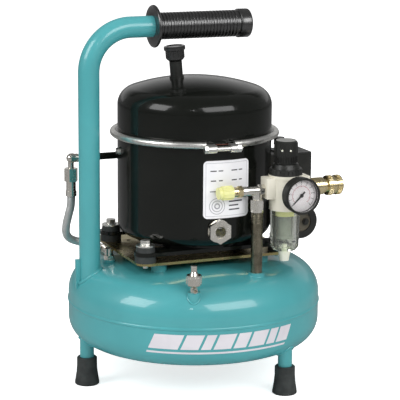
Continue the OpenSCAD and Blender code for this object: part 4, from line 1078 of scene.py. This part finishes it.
class COMPRESSOR_OT_regulator_details(bpy.types.Operator):
    """Adds the knob's cap and dots, the baffle in the bowl and the bowl's marks"""

    bl_idname = "compressor.regulator_details"
    bl_label = "Regulator details"

    def execute(self, context):
        low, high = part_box("regulator_knob")
        axis = middle_axis(low, high)
        knob_r = (high.x - low.x) / 2
        self.cap(axis, high.z, knob_r)
        self.dots(axis, low.z + 0.62 * (high.z - low.z), knob_r)
        self.baffle(axis)
        self.bowl_marks(axis)
        return {"FINISHED"}

    def cap(self, axis, top, knob_r):
        """The printed grey disc on top of the knob, with a rim."""
        wide = knob_r - 2.2 * MM
        disc = turned("knob_cap", [(0, wide), (0.5 * MM, wide), (0.7 * MM, wide - 0.4 * MM),
                                   (0.7 * MM, wide - 1.6 * MM), (0.4 * MM, wide - 2 * MM),
                                   (0.4 * MM, 1 * MM)])
        placed(disc, Matrix.Translation((axis.x, axis.y, top - 0.1 * MM)))
        dressed(disc, grey_print, "knob")

    def dots(self, axis, height, knob_r):
        """Two raised white dots on the side of the knob."""
        dots = []
        for degrees in (-133, -92):
            dot = turned("knob_dot", [(0, 1.1 * MM), (0.35 * MM, 1.1 * MM), (0.55 * MM, 0.7 * MM),
                                      (0.6 * MM, 0.2 * MM)], sides=20)
            turn = Matrix.Rotation(math.radians(degrees), 4, "Z")
            out = Matrix.Translation((knob_r - 0.1 * MM, 0, height)) @ Matrix.Rotation(math.pi / 2, 4, "Y")
            dots.append(placed(dot, Matrix.Translation(axis) @ turn @ out))
        dressed(joined("knob_dots", dots), white_plastic, "knob")

    def baffle(self, axis):
        """The yellow deflector ring at the top of the filter."""
        low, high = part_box("filter_element")
        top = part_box("regulator_body")[0].z
        wide = (high.x - low.x) / 2
        parts = [turned("baffle_ring", [(-6.8 * MM, wide + 0.05 * MM), (-0.1 * MM, wide + 0.05 * MM),
                                        (-0.1 * MM, wide - 1 * MM), (-6.8 * MM, wide - 1 * MM)])]
        placed(parts[0], Matrix.Translation((axis.x, axis.y, top)))
        dressed(parts[0], yellow_plastic)

    def bowl_marks(self, axis):
        """Dark level dashes round the lower part of the bowl."""
        low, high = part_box("filter_bowl")
        bowl_r = (high.x - low.x) / 2 + 0.02 * MM
        dashes = []
        for number in range(14):
            dash = flat_mark(0, 0, (4.6 if number % 2 else 2.4) * MM, 1.3 * MM, columns=4)
            wrapped_round(dash, bowl_r, math.tau * number / 14, low.z + 11.5 * MM)
            dashes.append(dash)
        marks = placed(joined("bowl_marks", dashes), Matrix.Translation(axis))
        thickened(marks, 0.06 * MM)
        dressed(marks, label_ink)


class COMPRESSOR_OT_intake(bpy.types.Operator):
    """Models the fluted intake filter with its rim"""

    bl_idname = "compressor.intake"
    bl_label = "Intake filter"

    def execute(self, context):
        low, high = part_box("intake_filter")
        tilt = math.radians(-5)
        length = ((high - low).z - (high - low).x * math.sin(-tilt)) / math.cos(tilt)
        rim_r = (high - low).y / 2
        body_r = rim_r - 2.2 * MM
        foot = [(0, 4.6 * MM), (0, 7.2 * MM), (2.4 * MM, body_r)]
        body = [(3 * MM, body_r), (length - 5.2 * MM, body_r), (length - 4.8 * MM, rim_r - 0.7 * MM)]
        rim = [(length - 4.2 * MM, rim_r), (length - 0.9 * MM, rim_r), (length - 0.2 * MM, rim_r - 0.5 * MM),
               (length, rim_r - 1.2 * MM), (length, rim_r - 3 * MM), (length - 0.8 * MM, rim_r - 3.6 * MM),
               (length - 0.8 * MM, 1 * MM)]
        parts = [turned("intake_body", [(0.5 * MM, 1 * MM), (0.5 * MM, 4.5 * MM)] + foot[1:] + body + rim)]
        for number in range(20):
            angle = math.tau * number / 20
            side = Vector((body_r * math.cos(angle), body_r * math.sin(angle), 0))
            ends = [side + Vector((0, 0, 3.4 * MM)), side + Vector((0, 0, length - 4.9 * MM))]
            parts.append(swept("flute", ends, 0.8 * MM, 8))
        filter_piece = joined("intake_filter_fluted", parts)
        spot = self.foot_of(low, high, length, rim_r, tilt)
        placed(filter_piece, Matrix.Translation(spot) @ Matrix.Rotation(tilt, 4, "Y"))
        dressed(filter_piece, grip_vinyl)
        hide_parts("intake_filter")
        return {"FINISHED"}

    def foot_of(self, low, high, length, rim_r, tilt):
        """Where the tilted filter's axis meets its lower end."""
        top = Vector(((low.x + rim_r * math.cos(tilt)), (low.y + high.y) / 2,
                      high.z + rim_r * math.sin(tilt)))
        return top - length * Vector((math.sin(tilt), 0, math.cos(tilt)))


class COMPRESSOR_OT_fasteners(bpy.types.Operator):
    """Adds the threads, flutes and knurls, the sight glass's ring and the capacitor's end disc"""

    bl_idname = "compressor.fasteners"
    bl_label = "Threads and small parts"

    def execute(self, context):
        self.capacitor_end()
        self.coupler_knurl()
        self.pipe_thread()
        self.knob_flutes()
        self.glass_bezel()
        self.clamp_thread()
        return {"FINISHED"}

    def thread(self, name, radius, pitch, length, wire):
        """A thread's ridge round Z, from the origin up."""
        turns = length / pitch
        steps = int(turns * THREAD_STEPS)
        path = ring_of((0, 0, 0), radius, steps + 1, sweep=math.tau * (steps + 1) / THREAD_STEPS)
        for number, place in enumerate(path):
            place.z = length * number / steps
        return swept(name, path, wire, 6)

    def pipe_thread(self):
        """The thread that shows on the riser below its union nut."""
        low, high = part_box("riser_pipe")
        length = 13 * MM
        ridge = self.thread("pipe_thread", (high.x - low.x) / 2 - 0.1 * MM, 1.8 * MM, length, 0.55 * MM)
        foot = middle_axis(low, high) + Vector((0, 0, high.z - length))
        placed(ridge, Matrix.Translation(foot))
        dressed(ridge, aged_nickel)

    def clamp_thread(self):
        """The thread on the clamp's bolt, where it crosses the gap in the ring."""
        low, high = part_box("clamp_bolt")
        middle = (low + high) / 2
        along = Vector((high.x - low.x, 0, 0))
        nut_low, nut_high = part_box("clamp_nut")
        along.y = ((nut_low + nut_high) / 2 - middle).y * 2
        turn = along.to_track_quat("Z", "Y").to_matrix().to_4x4()
        ridge = self.thread("clamp_thread", 2.45 * MM, 0.9 * MM, 26 * MM, 0.35 * MM)
        placed(ridge, Matrix.Translation(middle) @ turn @ Matrix.Translation((0, 0, -7 * MM)))
        dressed(ridge, bright_zinc)

    def knob_flutes(self):
        """Grip flutes round the skirt of the regulator's knob."""
        low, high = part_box("regulator_knob")
        axis = middle_axis(low, high)
        knob_r = (high.x - low.x) / 2
        flutes = []
        for number in range(30):
            angle = math.tau * number / 30
            side = axis + Vector((math.cos(angle), math.sin(angle), 0)) * (knob_r - 0.25 * MM)
            ends = [Vector((side.x, side.y, low.z + 1.5 * MM)), Vector((side.x, side.y, low.z + 9 * MM))]
            flutes.append(swept("flute", ends, 0.55 * MM, 6))
        dressed(joined("knob_flutes", flutes), black_plastic, "knob")

    def glass_bezel(self):
        """The turned ring that holds the sight glass, and the dark mark on the glass."""
        low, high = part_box("sight_glass_window")
        centre = (low + high) / 2
        angle = math.atan2(centre.y, centre.x)
        ring = turned("glass_bezel", [(0, 7.1 * MM), (2.6 * MM, 7.1 * MM), (3.1 * MM, 6.7 * MM),
                                      (3.1 * MM, 6.1 * MM), (1.2 * MM, 5.4 * MM), (0.4 * MM, 5.3 * MM),
                                      (0.4 * MM, 1 * MM)], sides=64)
        out = Matrix.Rotation(angle, 4, "Z") @ Matrix.Rotation(math.pi / 2, 4, "Y")
        start = Vector((math.cos(angle), math.sin(angle), 0)) * (centre.xy.length - 0.2 * MM)
        placed(ring, Matrix.Translation((start.x, start.y, centre.z)) @ out)
        dressed(ring, nickel)
        eye = turned("glass_eye", [(0, 5.2 * MM), (0.4 * MM, 5.2 * MM), (0.9 * MM, 4.2 * MM),
                                   (1.2 * MM, 2.4 * MM), (1.3 * MM, 0.4 * MM)], sides=48)
        face = start + Vector((math.cos(angle), math.sin(angle), 0)) * 0.5 * MM
        placed(eye, Matrix.Translation((face.x, face.y, centre.z)) @ out)
        dressed(eye, sight_glass)

    def capacitor_end(self):
        """The dull disc in the front end of the start capacitor."""
        low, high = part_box("start_capacitor")
        middle = Vector(((low.x + high.x) / 2, low.y, (low.z + high.z) / 2))
        disc = turned("capacitor_disc", [(0, 11.4 * MM), (0.5 * MM, 11.4 * MM), (0.5 * MM, 9.8 * MM),
                                         (0.2 * MM, 9.4 * MM), (0.2 * MM, 1 * MM)])
        placed(disc, Matrix.Translation((middle.x, middle.y + 4.05 * MM, middle.z))
               @ Matrix.Rotation(math.pi / 2, 4, "X"))
        dressed(disc, phenolic)

    def coupler_knurl(self):
        """Straight knurls on the two raised bands of the coupler's sleeve."""
        low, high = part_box("coupler_sleeve")
        radius = (high.z - low.z) / 2
        middle = Vector((0, (low.y + high.y) / 2, (low.z + high.z) / 2))
        ridges = []
        for start, length in ((low.x + 0.8 * MM, 4.9 * MM), (high.x - 6.2 * MM, 4.4 * MM)):
            for number in range(40):
                angle = math.tau * number / 40
                a = Vector((start, radius * math.cos(angle), radius * math.sin(angle))) + middle
                ridges.append(swept("ridge", [a, a + Vector((length, 0, 0))], 0.35 * MM, 6))
        dressed(joined("sleeve_knurl", ridges), brass, "sleeve")


PIECE_OPERATORS = [
    COMPRESSOR_OT_stage, COMPRESSOR_OT_finishes, COMPRESSOR_OT_hose, COMPRESSOR_OT_grip,
    COMPRESSOR_OT_tank_details, COMPRESSOR_OT_label_print, COMPRESSOR_OT_gauge,
    COMPRESSOR_OT_regulator_details, COMPRESSOR_OT_intake, COMPRESSOR_OT_fasteners,
]


class COMPRESSOR_PT_sidebar(bpy.types.Panel):
    """Lists the compressor's sizes, colours and pieces"""

    bl_idname = "COMPRESSOR_PT_sidebar"
    bl_label = "Airbrush Compressor"
    bl_space_type = "VIEW_3D"
    bl_region_type = "UI"
    bl_category = "Compressor"

    def draw(self, context):
        for name, group in SETTINGS.items():
            box = self.layout.box()
            for field in group.__annotations__:
                box.prop(getattr(context.scene, name), field)
        for operator in PIECE_OPERATORS:
            self.layout.operator(operator.bl_idname)


SETTINGS = {
    "compressor_stage": StageSettings,
    "compressor_tank": TankSettings,
    "compressor_grip": GripSettings,
    "compressor_hose": HoseSettings,
    "compressor_gauge": GaugeSettings,
}


def register():
    """Registers the settings, the operators and the panel."""
    for name, group in SETTINGS.items():
        bpy.utils.register_class(group)
        setattr(bpy.types.Scene, name, PointerProperty(type=group))
    for operator in PIECE_OPERATORS:
        bpy.utils.register_class(operator)
    bpy.utils.register_class(COMPRESSOR_PT_sidebar)


def unregister():
    """Removes what register added."""
    bpy.utils.unregister_class(COMPRESSOR_PT_sidebar)
    for operator in reversed(PIECE_OPERATORS):
        bpy.utils.unregister_class(operator)
    for name, group in SETTINGS.items():
        delattr(bpy.types.Scene, name)
        bpy.utils.unregister_class(group)


def main():
    register()
    for operator in PIECE_OPERATORS:
        group, name = operator.bl_idname.split(".")
        getattr(getattr(bpy.ops, group), name)()


if __name__ == "__main__":
    main()
